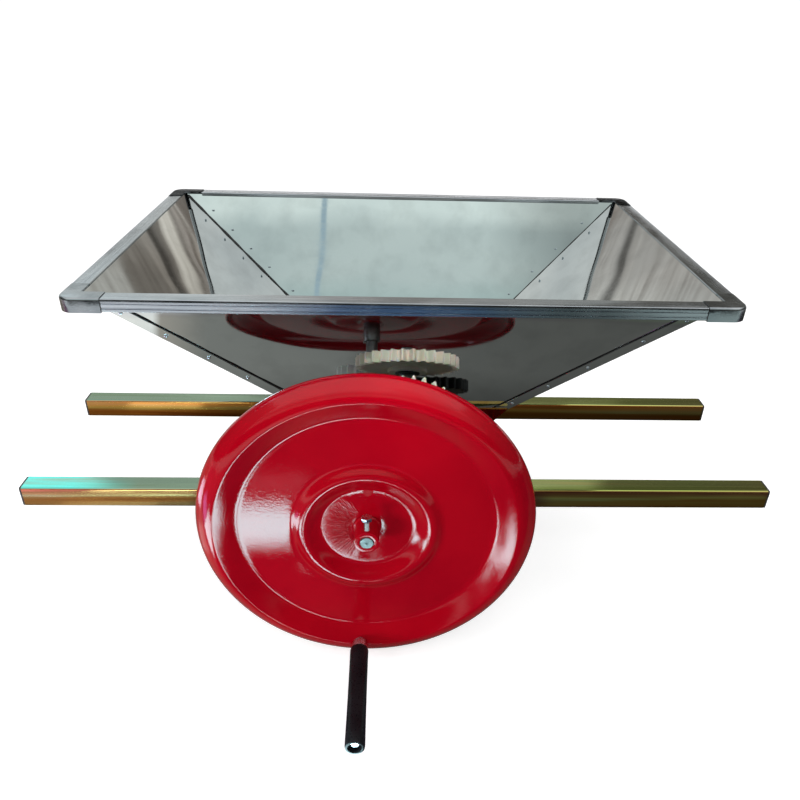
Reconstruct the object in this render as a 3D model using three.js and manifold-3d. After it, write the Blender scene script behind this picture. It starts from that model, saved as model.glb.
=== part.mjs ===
// A hand-cranked apple mill on two carrying bars.
// Sizes are in millimetres, +Z is up, and the crank side faces -Y.
// The origin is in the middle between the bars, in the plane that they rest on.
import * as THREE from "three";
import { mergeVertices } from "three/addons/utils/BufferGeometryUtils.js";
import Module from "manifold-3d";

const wasm = await Module();
wasm.setup();

// General sizes
const FIT_GAP = 0.3; // between pieces that touch
const SHEET = 1.5; // stainless sheet of the hopper
const ROUND = 24; // sides of an ordinary round piece
const SMALL_ROUND = 16; // sides of a screw or a small hole
const REACH = 1000; // longer than anything that it cuts

// Carrying bars, square tube
const BAR_SIZE = 33;
const BAR_WALL = 2;
const BAR_LENGTH = 1150;
const BAR_CENTRES = 275;
const PLUG_FLANGE = 3;
const PLUG_DEPTH = 14;
const PLUG_LIP = 32.6;

// Rim of trim strips round the hopper's mouth
const RIM_LENGTH = 798;
const RIM_DEPTH = 540;
const RIM_TOP = 377.5;
const RIM_HEIGHT = 16;
const RIM_WIDTH = 22;
const RIM_LOWER_LIP = 5;
const CORNER_LEG = 49;
const CORNER_RADIUS = 18;
const CORNER_PROUD = 0.8;
const CORNER_WALL = 2;
const CORNER_JOINT = 0.8;

// Hopper, four sloping panels with an upright throat
const MOUTH_Z = 374.2;
const MOUTH_HALF_X = 378;
const MOUTH_HALF_Y = 252.4;
const SIDE_SLOPE = 1.14; // mm outwards for each mm up
const FRONT_SLOPE = 0.52;
const THROAT_HALF_X = 98.5;
const THROAT_BOTTOM = 4.5;
const SEAM_FLANGE = 23; // width of the riveted seam flange, along X
const SEAM_BOTTOM = 141.5;
const SEAM_TOP = 370.5;
const FLANGE_SLACK = 1; // from the top flange's edge to the inside of the rim strip

// Crushing rollers and their shafts
const SHAFT_Z = 72.5;
const SHAFT_RADIUS = 9;
const RUNNING_GAP = 0.25;
const ROLLER_RADIUS = 46;
const ROLLER_ROOT = 39;
const ROLLER_RIDGES = 10;
const RIDGE_TIP_SHARE = 0.12; // of the ridges' pitch, each side of a ridge's middle
const RIDGE_FOOT_SHARE = 0.32;
const ROLLER_LENGTH = 236;
const SHAFT_REAR_END = 174;
const SHAFT_CHAMFER = 1;
const THRUST_GAP = 1.2;
const SPACER_RADIUS = 13;

// Nylon gears
const MODULE = 4.5;
const PRESSURE_ANGLE = THREE.MathUtils.degToRad(20);
const BACKLASH = 0.8;
const ROOT_DEPTH = 1.25; // in modules
const FILLET_ANGLE = 0.02; // radians
const ROLLER_TEETH = 22;
const AGITATOR_TEETH = 31;
const ROLLER_CENTRES = MODULE * ROLLER_TEETH;
const GEAR_FRONT = 219; // distance of the gears' front face from the middle
const AGITATOR_GEAR_WIDTH = 16;
const DRIVE_GEAR_WIDTH = 35;
const DRIVEN_GEAR_WIDTH = 17;
const GEAR_SIDE_GAP = 1.5; // between the agitator's gear and the driven gear behind it
const AGITATOR_BOSS = 5;
const AGITATOR_BOSS_RADIUS = 28;
const RING_RADIUS = 14;
const RING_WIDTH = 3.2;

// Agitator above the rollers
const AGITATOR_X = 4;
const AGITATOR_RADIUS = 42;
const AGITATOR_HOLE_RADIUS = 13; // in the front and rear panels
const PADDLE_COUNT = 4;
const PADDLE_SPACING = 46;
const PADDLE_THICKNESS = 6;
const PADDLE_WIDTH = 16;
const PADDLE_RING = 16;
const AGITATOR_FRONT_END = 233;
const AGITATOR_SPACER_RADIUS = 11;
const WASHER_RADIUS = 18;
const WASHER_THICKNESS = 2;
const LARGE_NUT_RADIUS = 14;
const LARGE_NUT_HEIGHT = 10;

// Bearings
const PLATE_THICKNESS = 4;
const PLATE_CENTRE_TOP = 119.5;
const PLATE_EAR_TOP = 178.5;
const PLATE_HALF_WIDTH = 104;
const PLATE_EAR_HALF = 148;
const PLATE_EAR_INNER = 62;
const BUSH_BODY = 14;
const BUSH_FLANGE = 24;
const BUSH_BOSS = 18;
const BUSH_FLANGE_THICKNESS = 5;
const BUSH_PROUD = 11;
const BLOCK_FRONT = 172;
const BLOCK_HALF = 30;
const COLLAR_RADIUS = 15;
const COLLAR_WIDTH = 12;

// Frame bolts
const BOLT_X = 82;
const BOLT_Z = 16.5;
const BOLT_RADIUS = 4;
const HEX_RADIUS = 7.5;
const HEAD_HEIGHT = 5.3;
const NUT_HEIGHT = 6.5;
const BOLT_PAST_SHEET = 9;

// Flywheel and handle. The dish profile lists radius and height in front of the widest plane.
const WHEEL_Y = -294;
const WHEEL_SIDES = 64;
const WHEEL_SHEET = 3;
const DISH_PROFILE = [
  [16.7, 0],
  [61, 0.5],
  [67, 2.5],
  [80, 10.5],
  [86, 12],
  [92, 11],
  [101, 5],
  [169, 5],
  [176, 8],
  [191, 18],
  [198, 20.5],
  [206, 19.5],
  [215, 14.5],
  [222, 7],
  [225, -1],
  [224.5, -8],
];
const HUB_RADIUS = 16.3;
const HUB_FRONT = -327;
const HUB_STEP = -290;
const HUB_REAR = -262;
const HUB_REAR_RADIUS = 13;
const SET_BOLT_Y = -319;
const SET_BOLT_TOP = 36.5;
const HANDLE_RADIUS = 195;
const HANDLE_ANGLE = THREE.MathUtils.degToRad(3.5);
const SPINDLE_RADIUS = 6;
const SPINDLE_REAR = -297;
const SPINDLE_HEAD = -304;
const SPINDLE_FRONT = -478;
const GRIP_REAR = -328;
const GRIP_FRONT = -487;
const GRIP_RADIUS = 13;
const GRIP_WAIST = 12.7;
const GRIP_EDGE = 1.5;
const GRIP_RECESS = 9;
const HANDLE_HEAD_RADIUS = 10;
const HANDLE_COLLAR_RADIUS = 10;
const SCREW_RADIUS = 2.5;
const SCREW_LENGTH = 12;
const SCREW_HEAD_RADIUS = 7;
const SCREW_HEAD_HEIGHT = 4.2;

// Places worked out from the sizes above
const barInner = BAR_CENTRES / 2 - BAR_SIZE / 2;
const barOuter = BAR_CENTRES / 2 + BAR_SIZE / 2;
const throatHalfY = barInner - FIT_GAP;
const rollerX = ROLLER_CENTRES / 2;
const bore = SHAFT_RADIUS + FIT_GAP;
const meshDistance = (MODULE * (ROLLER_TEETH + AGITATOR_TEETH)) / 2;
const agitatorZ = SHAFT_Z + Math.sqrt(meshDistance ** 2 - (AGITATOR_X + rollerX) ** 2);
const plateInner = barOuter + FIT_GAP;
const plateOuter = plateInner + PLATE_THICKNESS;
const bushEnd = plateOuter + FIT_GAP + BUSH_PROUD;
const dishFront = WHEEL_Y - Math.max(...DISH_PROFILE.map(([, height]) => height));
const handleX = -rollerX - HANDLE_RADIUS * Math.sin(HANDLE_ANGLE);
const handleZ = SHAFT_Z - HANDLE_RADIUS * Math.cos(HANDLE_ANGLE);

// Finishes
const finish = (color, roughness, metalness) =>
  new THREE.MeshStandardMaterial({ color, roughness, metalness });
const mirrorSteel = finish(0xb9c1c4, 0.12, 1);
const trimSteel = finish(0xaab4bb, 0.25, 1);
const cornerSteel = finish(0x8e979e, 0.4, 1);
const yellowZinc = finish(0xa39a5a, 0.35, 0.9);
const brightZinc = finish(0xc4c9cc, 0.3, 1);
const shaftSteel = finish(0x7d8083, 0.4, 1);
const rollerAluminium = finish(0xb5b8ba, 0.45, 1);
const redPaint = finish(0xc00018, 0.15, 0);
const blackPlastic = finish(0x17181a, 0.45, 0);
const whiteNylon = finish(0xe8efed, 0.5, 0);
const beigeNylon = finish(0xd8cfb4, 0.5, 0);

// A closed three.js geometry as a solid for cutting and joining
function solid(geometry) {
  const plain = new THREE.BufferGeometry();
  plain.setAttribute("position", geometry.getAttribute("position").clone());
  if (geometry.index) plain.setIndex(geometry.index.clone());
  const merged = mergeVertices(plain, 1e-4);
  const corners = merged.index.array;
  const triangles = [];
  for (let i = 0; i < corners.length; i += 3) {
    const [a, b, c] = corners.slice(i, i + 3);
    if (a !== b && b !== c && c !== a) triangles.push(a, b, c);
  }
  return new wasm.Manifold(
    new wasm.Mesh({
      numProp: 3,
      vertProperties: merged.attributes.position.array,
      triVerts: new Uint32Array(triangles),
    }),
  );
}

const joined = (...solids) => solids.reduce((all, next) => all.add(next));
const cut = (whole, ...tools) => tools.reduce((rest, tool) => rest.subtract(tool), whole);

// A solid back as a three.js geometry, flat shaded
function geometryOf(made) {
  const mesh = made.getMesh();
  const geometry = new THREE.BufferGeometry();
  geometry.setAttribute("position", new THREE.BufferAttribute(mesh.vertProperties, 3));
  geometry.setIndex(new THREE.BufferAttribute(mesh.triVerts, 1));
  const flat = geometry.toNonIndexed();
  flat.computeVertexNormals();
  return flat;
}

const model = new THREE.Group();
function piece(name, made, material, group = model) {
  const mesh = new THREE.Mesh(geometryOf(made), material);
  mesh.name = name;
  group.add(mesh);
}

// Outlines are lists of [across, up] points
const outline = (points) => new THREE.Shape(points.map(([u, v]) => new THREE.Vector2(u, v)));

function extruded(shape, length) {
  return new THREE.ExtrudeGeometry(shape, { depth: length, bevelEnabled: false, curveSegments: 8 });
}

// An outline in X and Z, extruded from y0 to y1
function alongY(points, y0, y1) {
  const geometry = extruded(outline(points), y1 - y0);
  geometry.rotateX(Math.PI / 2);
  geometry.translate(0, y1, 0);
  return solid(geometry);
}

// An outline in Y and Z, extruded from x0 to x1
function alongX(points, x0, x1) {
  const geometry = extruded(outline(points), x1 - x0);
  const axes = [new THREE.Vector3(0, 1, 0), new THREE.Vector3(0, 0, 1), new THREE.Vector3(1, 0, 0)];
  geometry.applyMatrix4(new THREE.Matrix4().makeBasis(...axes));
  geometry.translate(x0, 0, 0);
  return solid(geometry);
}

// A shape in X and Y, extruded from z0 to z1
function alongZ(shape, z0, z1) {
  const geometry = extruded(shape, z1 - z0);
  geometry.translate(0, 0, z0);
  return solid(geometry);
}

function box(x0, x1, y0, y1, z0, z1) {
  const geometry = new THREE.BoxGeometry(x1 - x0, y1 - y0, z1 - z0);
  geometry.translate((x0 + x1) / 2, (y0 + y1) / 2, (z0 + z1) / 2);
  return solid(geometry);
}

// A round pin along Y
function pin(radius, x, z, y0, y1, sides = ROUND) {
  const geometry = new THREE.CylinderGeometry(radius, radius, y1 - y0, sides);
  geometry.translate(x, (y0 + y1) / 2, z);
  return solid(geometry);
}

// A turned piece: closed profile of [radius, y] points, anticlockwise, round an axis along Y
function turned(profile, x, z, sides = ROUND) {
  const points = profile.map(([radius, y]) => new THREE.Vector2(radius, y));
  points.push(points[0].clone());
  const geometry = new THREE.LatheGeometry(points, sides);
  geometry.translate(x, 0, z);
  return solid(geometry);
}

// A plain sleeve along Y
const sleeve = (inner, outer, x, z, y0, y1, sides = ROUND) =>
  turned([[inner, y0], [outer, y0], [outer, y1], [inner, y1]], x, z, sides);

// The mirror image of a solid on the rear side
const atRear = (made) => made.mirror([0, 1, 0]);
const atLeft = (made) => made.mirror([1, 0, 0]);

// Carrying bars: square tubes with holes for the frame bolts, and an end plug at each end
function carryingBar(side) {
  const half = BAR_SIZE / 2;
  const middle = (side * BAR_CENTRES) / 2;
  const tubeEnd = BAR_LENGTH / 2 - PLUG_FLANGE;
  const outer = box(-tubeEnd, tubeEnd, middle - half, middle + half, 0, BAR_SIZE);
  const room = half - BAR_WALL;
  const inside = box(-REACH, REACH, middle - room, middle + room, BAR_WALL, BAR_SIZE - BAR_WALL);
  const holes = [-BOLT_X, BOLT_X].map((x) =>
    pin(BOLT_RADIUS + FIT_GAP, x, BOLT_Z, middle - BAR_SIZE, middle + BAR_SIZE, SMALL_ROUND),
  );
  return cut(outer, inside, ...holes);
}

function endPlug(side) {
  const middle = (side * BAR_CENTRES) / 2;
  const end = BAR_LENGTH / 2;
  const lip = PLUG_LIP / 2;
  const room = BAR_SIZE / 2 - BAR_WALL - FIT_GAP;
  const core = room - BAR_WALL;
  const centreZ = BAR_SIZE / 2;
  const inner = end - PLUG_FLANGE;
  const face = box(inner + FIT_GAP, end, middle - lip, middle + lip, centreZ - lip, centreZ + lip);
  const tail = box(inner - PLUG_DEPTH, end, middle - room, middle + room, centreZ - room, centreZ + room);
  const hollow = box(
    inner - REACH, inner - BAR_WALL, middle - core, middle + core, centreZ - core, centreZ + core,
  );
  return cut(joined(face, tail), hollow);
}

for (const [name, side] of [["front", -1], ["rear", 1]]) {
  piece(`${name}_bar`, carryingBar(side), yellowZinc);
  const plug = endPlug(side);
  piece(`${name}_bar_right_plug`, plug, blackPlastic);
  piece(`${name}_bar_left_plug`, atLeft(plug), blackPlastic);
}

// Hopper sheets. A sheet's profile runs up the throat, out along the slope and into a top flange.
const slopeOut = (mouth, slope, z) => mouth - slope * (MOUTH_Z - z);
const sheetAcross = (slope) => SHEET * Math.sqrt(1 + slope ** 2);
const flangeTop = MOUTH_Z + SHEET;

function sheetProfile(mouth, slope, throat, flangeEnd) {
  const across = sheetAcross(slope);
  const bend = MOUTH_Z - (mouth - throat) / slope;
  return [
    [throat, THROAT_BOTTOM],
    [throat, bend],
    [mouth, MOUTH_Z],
    [flangeEnd, MOUTH_Z],
    [flangeEnd, flangeTop],
    [mouth + slope * SHEET - across, flangeTop],
    [throat - SHEET, bend + (across - SHEET) / slope],
    [throat - SHEET, THROAT_BOTTOM],
  ];
}

// A symmetrical limit on a sheet's width: half widths at three heights
function widthLimit(throat, bendZ, mouth, topZ) {
  return [
    [-throat, 0],
    [throat, 0],
    [throat, bendZ],
    [mouth, topZ],
    [-mouth, topZ],
    [-throat, bendZ],
  ];
}

const frontFlangeEnd = RIM_DEPTH / 2 - SHEET - FLANGE_SLACK;
const sideFlangeEnd = RIM_LENGTH / 2 - SHEET - FLANGE_SLACK;

function rearPanel() {
  const profile = sheetProfile(MOUTH_HALF_Y, FRONT_SLOPE, throatHalfY, frontFlangeEnd);
  const inset = sheetAcross(SIDE_SLOPE) + FIT_GAP;
  const throat = THROAT_HALF_X - SHEET - FIT_GAP;
  const bendZ = MOUTH_Z - (MOUTH_HALF_X - inset - throat) / SIDE_SLOPE;
  const topZ = flangeTop + FIT_GAP;
  const mouth = slopeOut(MOUTH_HALF_X, SIDE_SLOPE, topZ) - inset;
  const limit = alongY(widthLimit(throat, bendZ, mouth, topZ), 0, REACH);
  const sheet = alongX(profile, -REACH, REACH).intersect(limit);
  const shaftHoles = [-rollerX, rollerX].map((x) =>
    pin(BUSH_BODY + 2 * FIT_GAP, x, SHAFT_Z, 0, REACH),
  );
  const boltHoles = [-BOLT_X, BOLT_X].map((x) =>
    pin(BOLT_RADIUS + FIT_GAP, x, BOLT_Z, 0, REACH, SMALL_ROUND),
  );
  const agitatorHole = pin(AGITATOR_HOLE_RADIUS, AGITATOR_X, agitatorZ, 0, REACH, SMALL_ROUND);
  return cut(sheet, ...shaftHoles, ...boltHoles, agitatorHole);
}

function rightPanel() {
  const profile = sheetProfile(MOUTH_HALF_X, SIDE_SLOPE, THROAT_HALF_X, sideFlangeEnd);
  const across = sheetAcross(FRONT_SLOPE);
  const inner = FIT_GAP * Math.sqrt(1 + FRONT_SLOPE ** 2);
  const outer = inner + across;
  const bendZ = MOUTH_Z - (MOUTH_HALF_Y - throatHalfY) / FRONT_SLOPE;
  const topZ = flangeTop + FIT_GAP;
  const mouth = slopeOut(MOUTH_HALF_Y, FRONT_SLOPE, topZ) + outer;
  const sideLimit = [
    [-throatHalfY, 0],
    [throatHalfY, 0],
    [throatHalfY, bendZ - SHEET],
    [throatHalfY + outer, bendZ],
    [mouth, topZ],
    [-mouth, topZ],
    [-throatHalfY - outer, bendZ],
    [-throatHalfY, bendZ - SHEET],
  ];
  const sheet = alongY(profile, -REACH, REACH).intersect(alongX(sideLimit, 0, REACH));
  const edge = (z) => slopeOut(MOUTH_HALF_X, SIDE_SLOPE, z);
  const face = (z) => slopeOut(MOUTH_HALF_Y, FRONT_SLOPE, z);
  const strip = alongY(
    [
      [edge(SEAM_BOTTOM) - SEAM_FLANGE, SEAM_BOTTOM],
      [edge(SEAM_BOTTOM), SEAM_BOTTOM],
      [edge(SEAM_TOP), SEAM_TOP],
      [edge(SEAM_TOP) - SEAM_FLANGE, SEAM_TOP],
    ],
    0,
    REACH,
  );
  const layer = alongX(
    [
      [face(0) + inner, 0],
      [face(0) + outer, 0],
      [face(MOUTH_Z) + outer, MOUTH_Z],
      [face(MOUTH_Z) + inner, MOUTH_Z],
    ],
    0,
    REACH,
  );
  const rearFlange = strip.intersect(layer);
  return joined(sheet, rearFlange, atRear(rearFlange));
}

const rear = rearPanel();
const right = rightPanel();
piece("rear_panel", rear, mirrorSteel);
piece("front_panel", atRear(rear), mirrorSteel);
piece("right_panel", right, mirrorSteel);
piece("left_panel", atLeft(right), mirrorSteel);

// Rim strips: a flat top that covers the sheets' edge, an outer face and a turned-in lower edge
function channelProfile(outerFace) {
  const bottom = RIM_TOP - RIM_HEIGHT;
  const inner = outerFace - RIM_WIDTH;
  return [
    [outerFace, RIM_TOP],
    [inner, RIM_TOP],
    [inner, RIM_TOP - SHEET],
    [outerFace - SHEET, RIM_TOP - SHEET],
    [outerFace - SHEET, bottom + SHEET],
    [outerFace - RIM_LOWER_LIP, bottom + SHEET],
    [outerFace - RIM_LOWER_LIP, bottom],
    [outerFace, bottom],
  ];
}

const halfLength = RIM_LENGTH / 2;
const halfDepth = RIM_DEPTH / 2;
const longEnd = halfLength - CORNER_LEG - CORNER_JOINT;
const shortEnd = halfDepth - CORNER_LEG - CORNER_JOINT;
const rearStrip = alongX(channelProfile(halfDepth), -longEnd, longEnd);
const rightStrip = alongY(channelProfile(halfLength), -shortEnd, shortEnd);
piece("rear_rim_strip", rearStrip, trimSteel);
piece("front_rim_strip", atRear(rearStrip), trimSteel);
piece("right_rim_strip", rightStrip, trimSteel);
piece("left_rim_strip", atLeft(rightStrip), trimSteel);

// Corner caps: an L with a rounded outer corner, open below and at the ends of its legs
function cornerShape(outer, inner, legs, radius) {
  const shape = new THREE.Shape();
  const x = halfLength - outer;
  const y = halfDepth - outer;
  const innerX = halfLength - inner;
  const innerY = halfDepth - inner;
  const legX = halfLength - legs;
  const legY = halfDepth - legs;
  shape.moveTo(x, legY);
  shape.lineTo(x, y - radius);
  shape.absarc(x - radius, y - radius, radius, 0, Math.PI / 2, false);
  shape.lineTo(legX, y);
  shape.lineTo(legX, innerY);
  shape.lineTo(innerX, innerY);
  shape.lineTo(innerX, legY);
  return shape;
}

function cornerCap() {
  const top = RIM_TOP + CORNER_PROUD;
  const bottom = RIM_TOP - RIM_HEIGHT - CORNER_PROUD;
  const wall = CORNER_WALL - CORNER_PROUD;
  const whole = alongZ(cornerShape(-CORNER_PROUD, RIM_WIDTH, CORNER_LEG, CORNER_RADIUS), bottom, top);
  const past = CORNER_LEG + RIM_WIDTH;
  const hollow = alongZ(
    cornerShape(wall, RIM_WIDTH + CORNER_WALL, past, CORNER_RADIUS - CORNER_WALL),
    0,
    top - CORNER_WALL,
  );
  return cut(whole, hollow);
}

const rearRightCap = cornerCap();
piece("rear_right_corner", rearRightCap, cornerSteel);
piece("rear_left_corner", atLeft(rearRightCap), cornerSteel);
piece("front_right_corner", atRear(rearRightCap), cornerSteel);
piece("front_left_corner", atLeft(atRear(rearRightCap)), cornerSteel);

// Bearing plates stand on the outer faces of the bars, with an ear at each side under the hopper
function bearingPlate() {
  const shoulder = MOUTH_Z - (MOUTH_HALF_X - PLATE_HALF_WIDTH) / SIDE_SLOPE;
  const earOuter = Math.min(PLATE_EAR_HALF, slopeOut(MOUTH_HALF_X, SIDE_SLOPE, PLATE_EAR_TOP));
  const rightHalf = [
    [PLATE_HALF_WIDTH, 0],
    [PLATE_HALF_WIDTH, shoulder],
    [earOuter, PLATE_EAR_TOP],
    [PLATE_EAR_INNER, PLATE_EAR_TOP],
    [PLATE_EAR_INNER, PLATE_CENTRE_TOP],
  ];
  const leftHalf = rightHalf.map(([x, z]) => [-x, z]).reverse();
  const plate = alongY([...rightHalf, ...leftHalf], plateInner, plateOuter);
  const bushHoles = [-rollerX, rollerX].map((x) => pin(BUSH_BODY + FIT_GAP, x, SHAFT_Z, 0, REACH));
  const boltHoles = [-BOLT_X, BOLT_X].map((x) =>
    pin(BOLT_RADIUS + FIT_GAP, x, BOLT_Z, 0, REACH, SMALL_ROUND),
  );
  return cut(plate, ...bushHoles, ...boltHoles);
}

const rearPlate = bearingPlate();
piece("rear_bearing_plate", rearPlate, yellowZinc);
piece("front_bearing_plate", atRear(rearPlate), yellowZinc);

// Flanged bushes for the roller shafts
function rollerBush(x) {
  const inner = SHAFT_RADIUS + RUNNING_GAP;
  const flangeY = plateOuter + FIT_GAP;
  const thrustFace = ROLLER_LENGTH / 2 + THRUST_GAP;
  return turned(
    [
      [inner, thrustFace],
      [BUSH_BODY, thrustFace],
      [BUSH_BODY, flangeY],
      [BUSH_FLANGE, flangeY],
      [BUSH_FLANGE, flangeY + BUSH_FLANGE_THICKNESS],
      [BUSH_BOSS, flangeY + BUSH_FLANGE_THICKNESS],
      [BUSH_BOSS, bushEnd],
      [inner, bushEnd],
    ],
    x,
    SHAFT_Z,
  );
}

for (const [name, x] of [["crank", -rollerX], ["driven", rollerX]]) {
  const bush = rollerBush(x);
  piece(`${name}_shaft_rear_bush`, bush, blackPlastic);
  piece(`${name}_shaft_front_bush`, atRear(bush), blackPlastic);
}

// Bearing blocks for the agitator: wedges that sit on the sloping front and rear panels
function agitatorBlock() {
  const face = (z) => slopeOut(MOUTH_HALF_Y, FRONT_SLOPE, z) + FIT_GAP * Math.sqrt(1 + FRONT_SLOPE ** 2);
  const low = agitatorZ - BLOCK_HALF;
  const high = agitatorZ + BLOCK_HALF;
  const wedge = alongX(
    [
      [face(low), low],
      [BLOCK_FRONT, low],
      [BLOCK_FRONT, high],
      [face(high), high],
    ],
    AGITATOR_X - BLOCK_HALF,
    AGITATOR_X + BLOCK_HALF,
  );
  return cut(wedge, pin(SHAFT_RADIUS + RUNNING_GAP, AGITATOR_X, agitatorZ, 0, REACH));
}

const rearBlock = agitatorBlock();
piece("agitator_rear_block", rearBlock, whiteNylon);
piece("agitator_front_block", atRear(rearBlock), whiteNylon);

// Frame bolts clamp bearing plate, bar and throat sheet together
function frameBolt(x) {
  const under = plateOuter + FIT_GAP;
  const tip = throatHalfY - SHEET - BOLT_PAST_SHEET;
  const shank = pin(BOLT_RADIUS, x, BOLT_Z, tip, under + 1, SMALL_ROUND);
  const head = pin(HEX_RADIUS, x, BOLT_Z, under, under + HEAD_HEIGHT, 6);
  return joined(shank, head);
}

function frameNut(x) {
  const face = throatHalfY - SHEET - FIT_GAP;
  const nut = pin(HEX_RADIUS, x, BOLT_Z, face - NUT_HEIGHT, face, 6);
  return cut(nut, pin(BOLT_RADIUS + FIT_GAP, x, BOLT_Z, 0, REACH, SMALL_ROUND));
}

for (const [side, x] of [["left", -BOLT_X], ["right", BOLT_X]]) {
  const bolt = frameBolt(x);
  const nut = frameNut(x);
  piece(`rear_${side}_frame_bolt`, bolt, brightZinc);
  piece(`front_${side}_frame_bolt`, atRear(bolt), brightZinc);
  piece(`rear_${side}_frame_nut`, nut, brightZinc);
  piece(`front_${side}_frame_nut`, atRear(nut), brightZinc);
}

// Crushing rollers with straight ridges. The second one is turned half a ridge so that they interleave.
function roller(x, phase) {
  const points = [];
  const step = (2 * Math.PI) / ROLLER_RIDGES;
  const at = (radius, angle) => [x + radius * Math.cos(angle), SHAFT_Z + radius * Math.sin(angle)];
  for (let i = 0; i < ROLLER_RIDGES; i += 1) {
    const middle = phase + i * step;
    points.push(at(ROLLER_ROOT, middle - RIDGE_FOOT_SHARE * step));
    points.push(at(ROLLER_RADIUS, middle - RIDGE_TIP_SHARE * step));
    points.push(at(ROLLER_RADIUS, middle + RIDGE_TIP_SHARE * step));
    points.push(at(ROLLER_ROOT, middle + RIDGE_FOOT_SHARE * step));
  }
  const body = alongY(points, -ROLLER_LENGTH / 2, ROLLER_LENGTH / 2);
  return cut(body, pin(bore, x, SHAFT_Z, -REACH, REACH));
}

piece("crank_roller", roller(-rollerX, 0), rollerAluminium);
piece("driven_roller", roller(rollerX, Math.PI / ROLLER_RIDGES), rollerAluminium);

// Gears with involute flanks
const involute = (angle) => Math.tan(angle) - angle;

function gear(teeth, x, z, phase, y0, y1) {
  const pitch = (MODULE * teeth) / 2;
  const base = pitch * Math.cos(PRESSURE_ANGLE);
  const root = pitch - ROOT_DEPTH * MODULE;
  const tip = pitch + MODULE;
  const halfAtPitch = Math.PI / (2 * teeth) - BACKLASH / (2 * pitch);
  const halfAt = (radius) => {
    const angle = Math.acos(Math.min(1, base / radius));
    return halfAtPitch + involute(PRESSURE_ANGLE) - involute(angle);
  };
  const flankFoot = Math.max(base, root);
  const flank = [flankFoot, pitch, tip];
  const points = [];
  const at = (radius, angle) => [x + radius * Math.cos(angle), z + radius * Math.sin(angle)];
  for (let i = 0; i < teeth; i += 1) {
    const middle = phase + (i * 2 * Math.PI) / teeth;
    const foot = halfAt(flankFoot) + FILLET_ANGLE;
    points.push(at(root, middle - foot));
    for (const radius of flank) points.push(at(radius, middle - halfAt(radius)));
    for (const radius of flank.toReversed()) points.push(at(radius, middle + halfAt(radius)));
    points.push(at(root, middle + foot));
  }
  return cut(alongY(points, y0, y1), pin(bore, x, z, -REACH, REACH));
}

// The phase that puts a gear in mesh with a driving gear whose first tooth points along +X
function meshPhase(drivingTeeth, teeth, direction) {
  const drivingPitch = (2 * Math.PI) / drivingTeeth;
  const pitch = (2 * Math.PI) / teeth;
  return direction + Math.PI - pitch * (0.5 - direction / drivingPitch);
}

const agitatorDirection = Math.atan2(agitatorZ - SHAFT_Z, AGITATOR_X + rollerX);
const driveGearBack = -GEAR_FRONT + DRIVE_GEAR_WIDTH;
const agitatorGearBack = -GEAR_FRONT + AGITATOR_GEAR_WIDTH;
const bossBack = agitatorGearBack + AGITATOR_BOSS;
const drivenGearFront = agitatorGearBack + GEAR_SIDE_GAP;
const drivenGearBack = drivenGearFront + DRIVEN_GEAR_WIDTH;

const driveGear = gear(ROLLER_TEETH, -rollerX, SHAFT_Z, 0, -GEAR_FRONT, driveGearBack);
const drivenPhase = meshPhase(ROLLER_TEETH, ROLLER_TEETH, 0);
const drivenGear = gear(ROLLER_TEETH, rollerX, SHAFT_Z, drivenPhase, drivenGearFront, drivenGearBack);
const agitatorPhase = meshPhase(ROLLER_TEETH, AGITATOR_TEETH, agitatorDirection);
const agitatorTeeth = gear(
  AGITATOR_TEETH, AGITATOR_X, agitatorZ, agitatorPhase, -GEAR_FRONT, agitatorGearBack,
);
const agitatorBoss = sleeve(
  bore, AGITATOR_BOSS_RADIUS, AGITATOR_X, agitatorZ, agitatorGearBack - 1, bossBack,
);
piece("drive_gear", driveGear, whiteNylon);
piece("driven_gear", drivenGear, blackPlastic);
piece("agitator_gear", joined(agitatorTeeth, agitatorBoss), beigeNylon);

// Shafts
const shaft = (x, z, front, back) =>
  turned(
    [
      [0, front],
      [SHAFT_RADIUS - SHAFT_CHAMFER, front],
      [SHAFT_RADIUS, front + SHAFT_CHAMFER],
      [SHAFT_RADIUS, back - SHAFT_CHAMFER],
      [SHAFT_RADIUS - SHAFT_CHAMFER, back],
      [0, back],
    ],
    x,
    z,
  );
const drivenRingBack = drivenGearFront - FIT_GAP;
const drivenRingFront = drivenRingBack - RING_WIDTH;
const collarFront = BLOCK_FRONT + FIT_GAP;
const collarBack = collarFront + COLLAR_WIDTH;
const crankShaft = shaft(-rollerX, SHAFT_Z, HUB_FRONT - SHAFT_CHAMFER, SHAFT_REAR_END);
const drivenShaft = shaft(rollerX, SHAFT_Z, drivenRingFront - SHAFT_CHAMFER, SHAFT_REAR_END);
const agitatorShaft = shaft(AGITATOR_X, agitatorZ, -AGITATOR_FRONT_END, collarBack + SHAFT_CHAMFER);
piece("crank_shaft", crankShaft, shaftSteel);
piece("driven_shaft", drivenShaft, shaftSteel);
piece("agitator_shaft", agitatorShaft, shaftSteel);

// Spacers, rings and the agitator gear's nut keep shafts and gears in their places
const spacerBack = -bushEnd - FIT_GAP;
const crankSpacerFront = driveGearBack + FIT_GAP;
const drivenSpacerFront = drivenGearBack + FIT_GAP;
const crankSpacer = sleeve(bore, SPACER_RADIUS, -rollerX, SHAFT_Z, crankSpacerFront, spacerBack);
const drivenSpacer = sleeve(bore, SPACER_RADIUS, rollerX, SHAFT_Z, drivenSpacerFront, spacerBack);
const drivenRing = sleeve(bore, RING_RADIUS, rollerX, SHAFT_Z, drivenRingFront, drivenRingBack);
piece("crank_spacer", crankSpacer, shaftSteel);
piece("driven_spacer", drivenSpacer, shaftSteel);
piece("driven_gear_ring", drivenRing, brightZinc);

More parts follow.
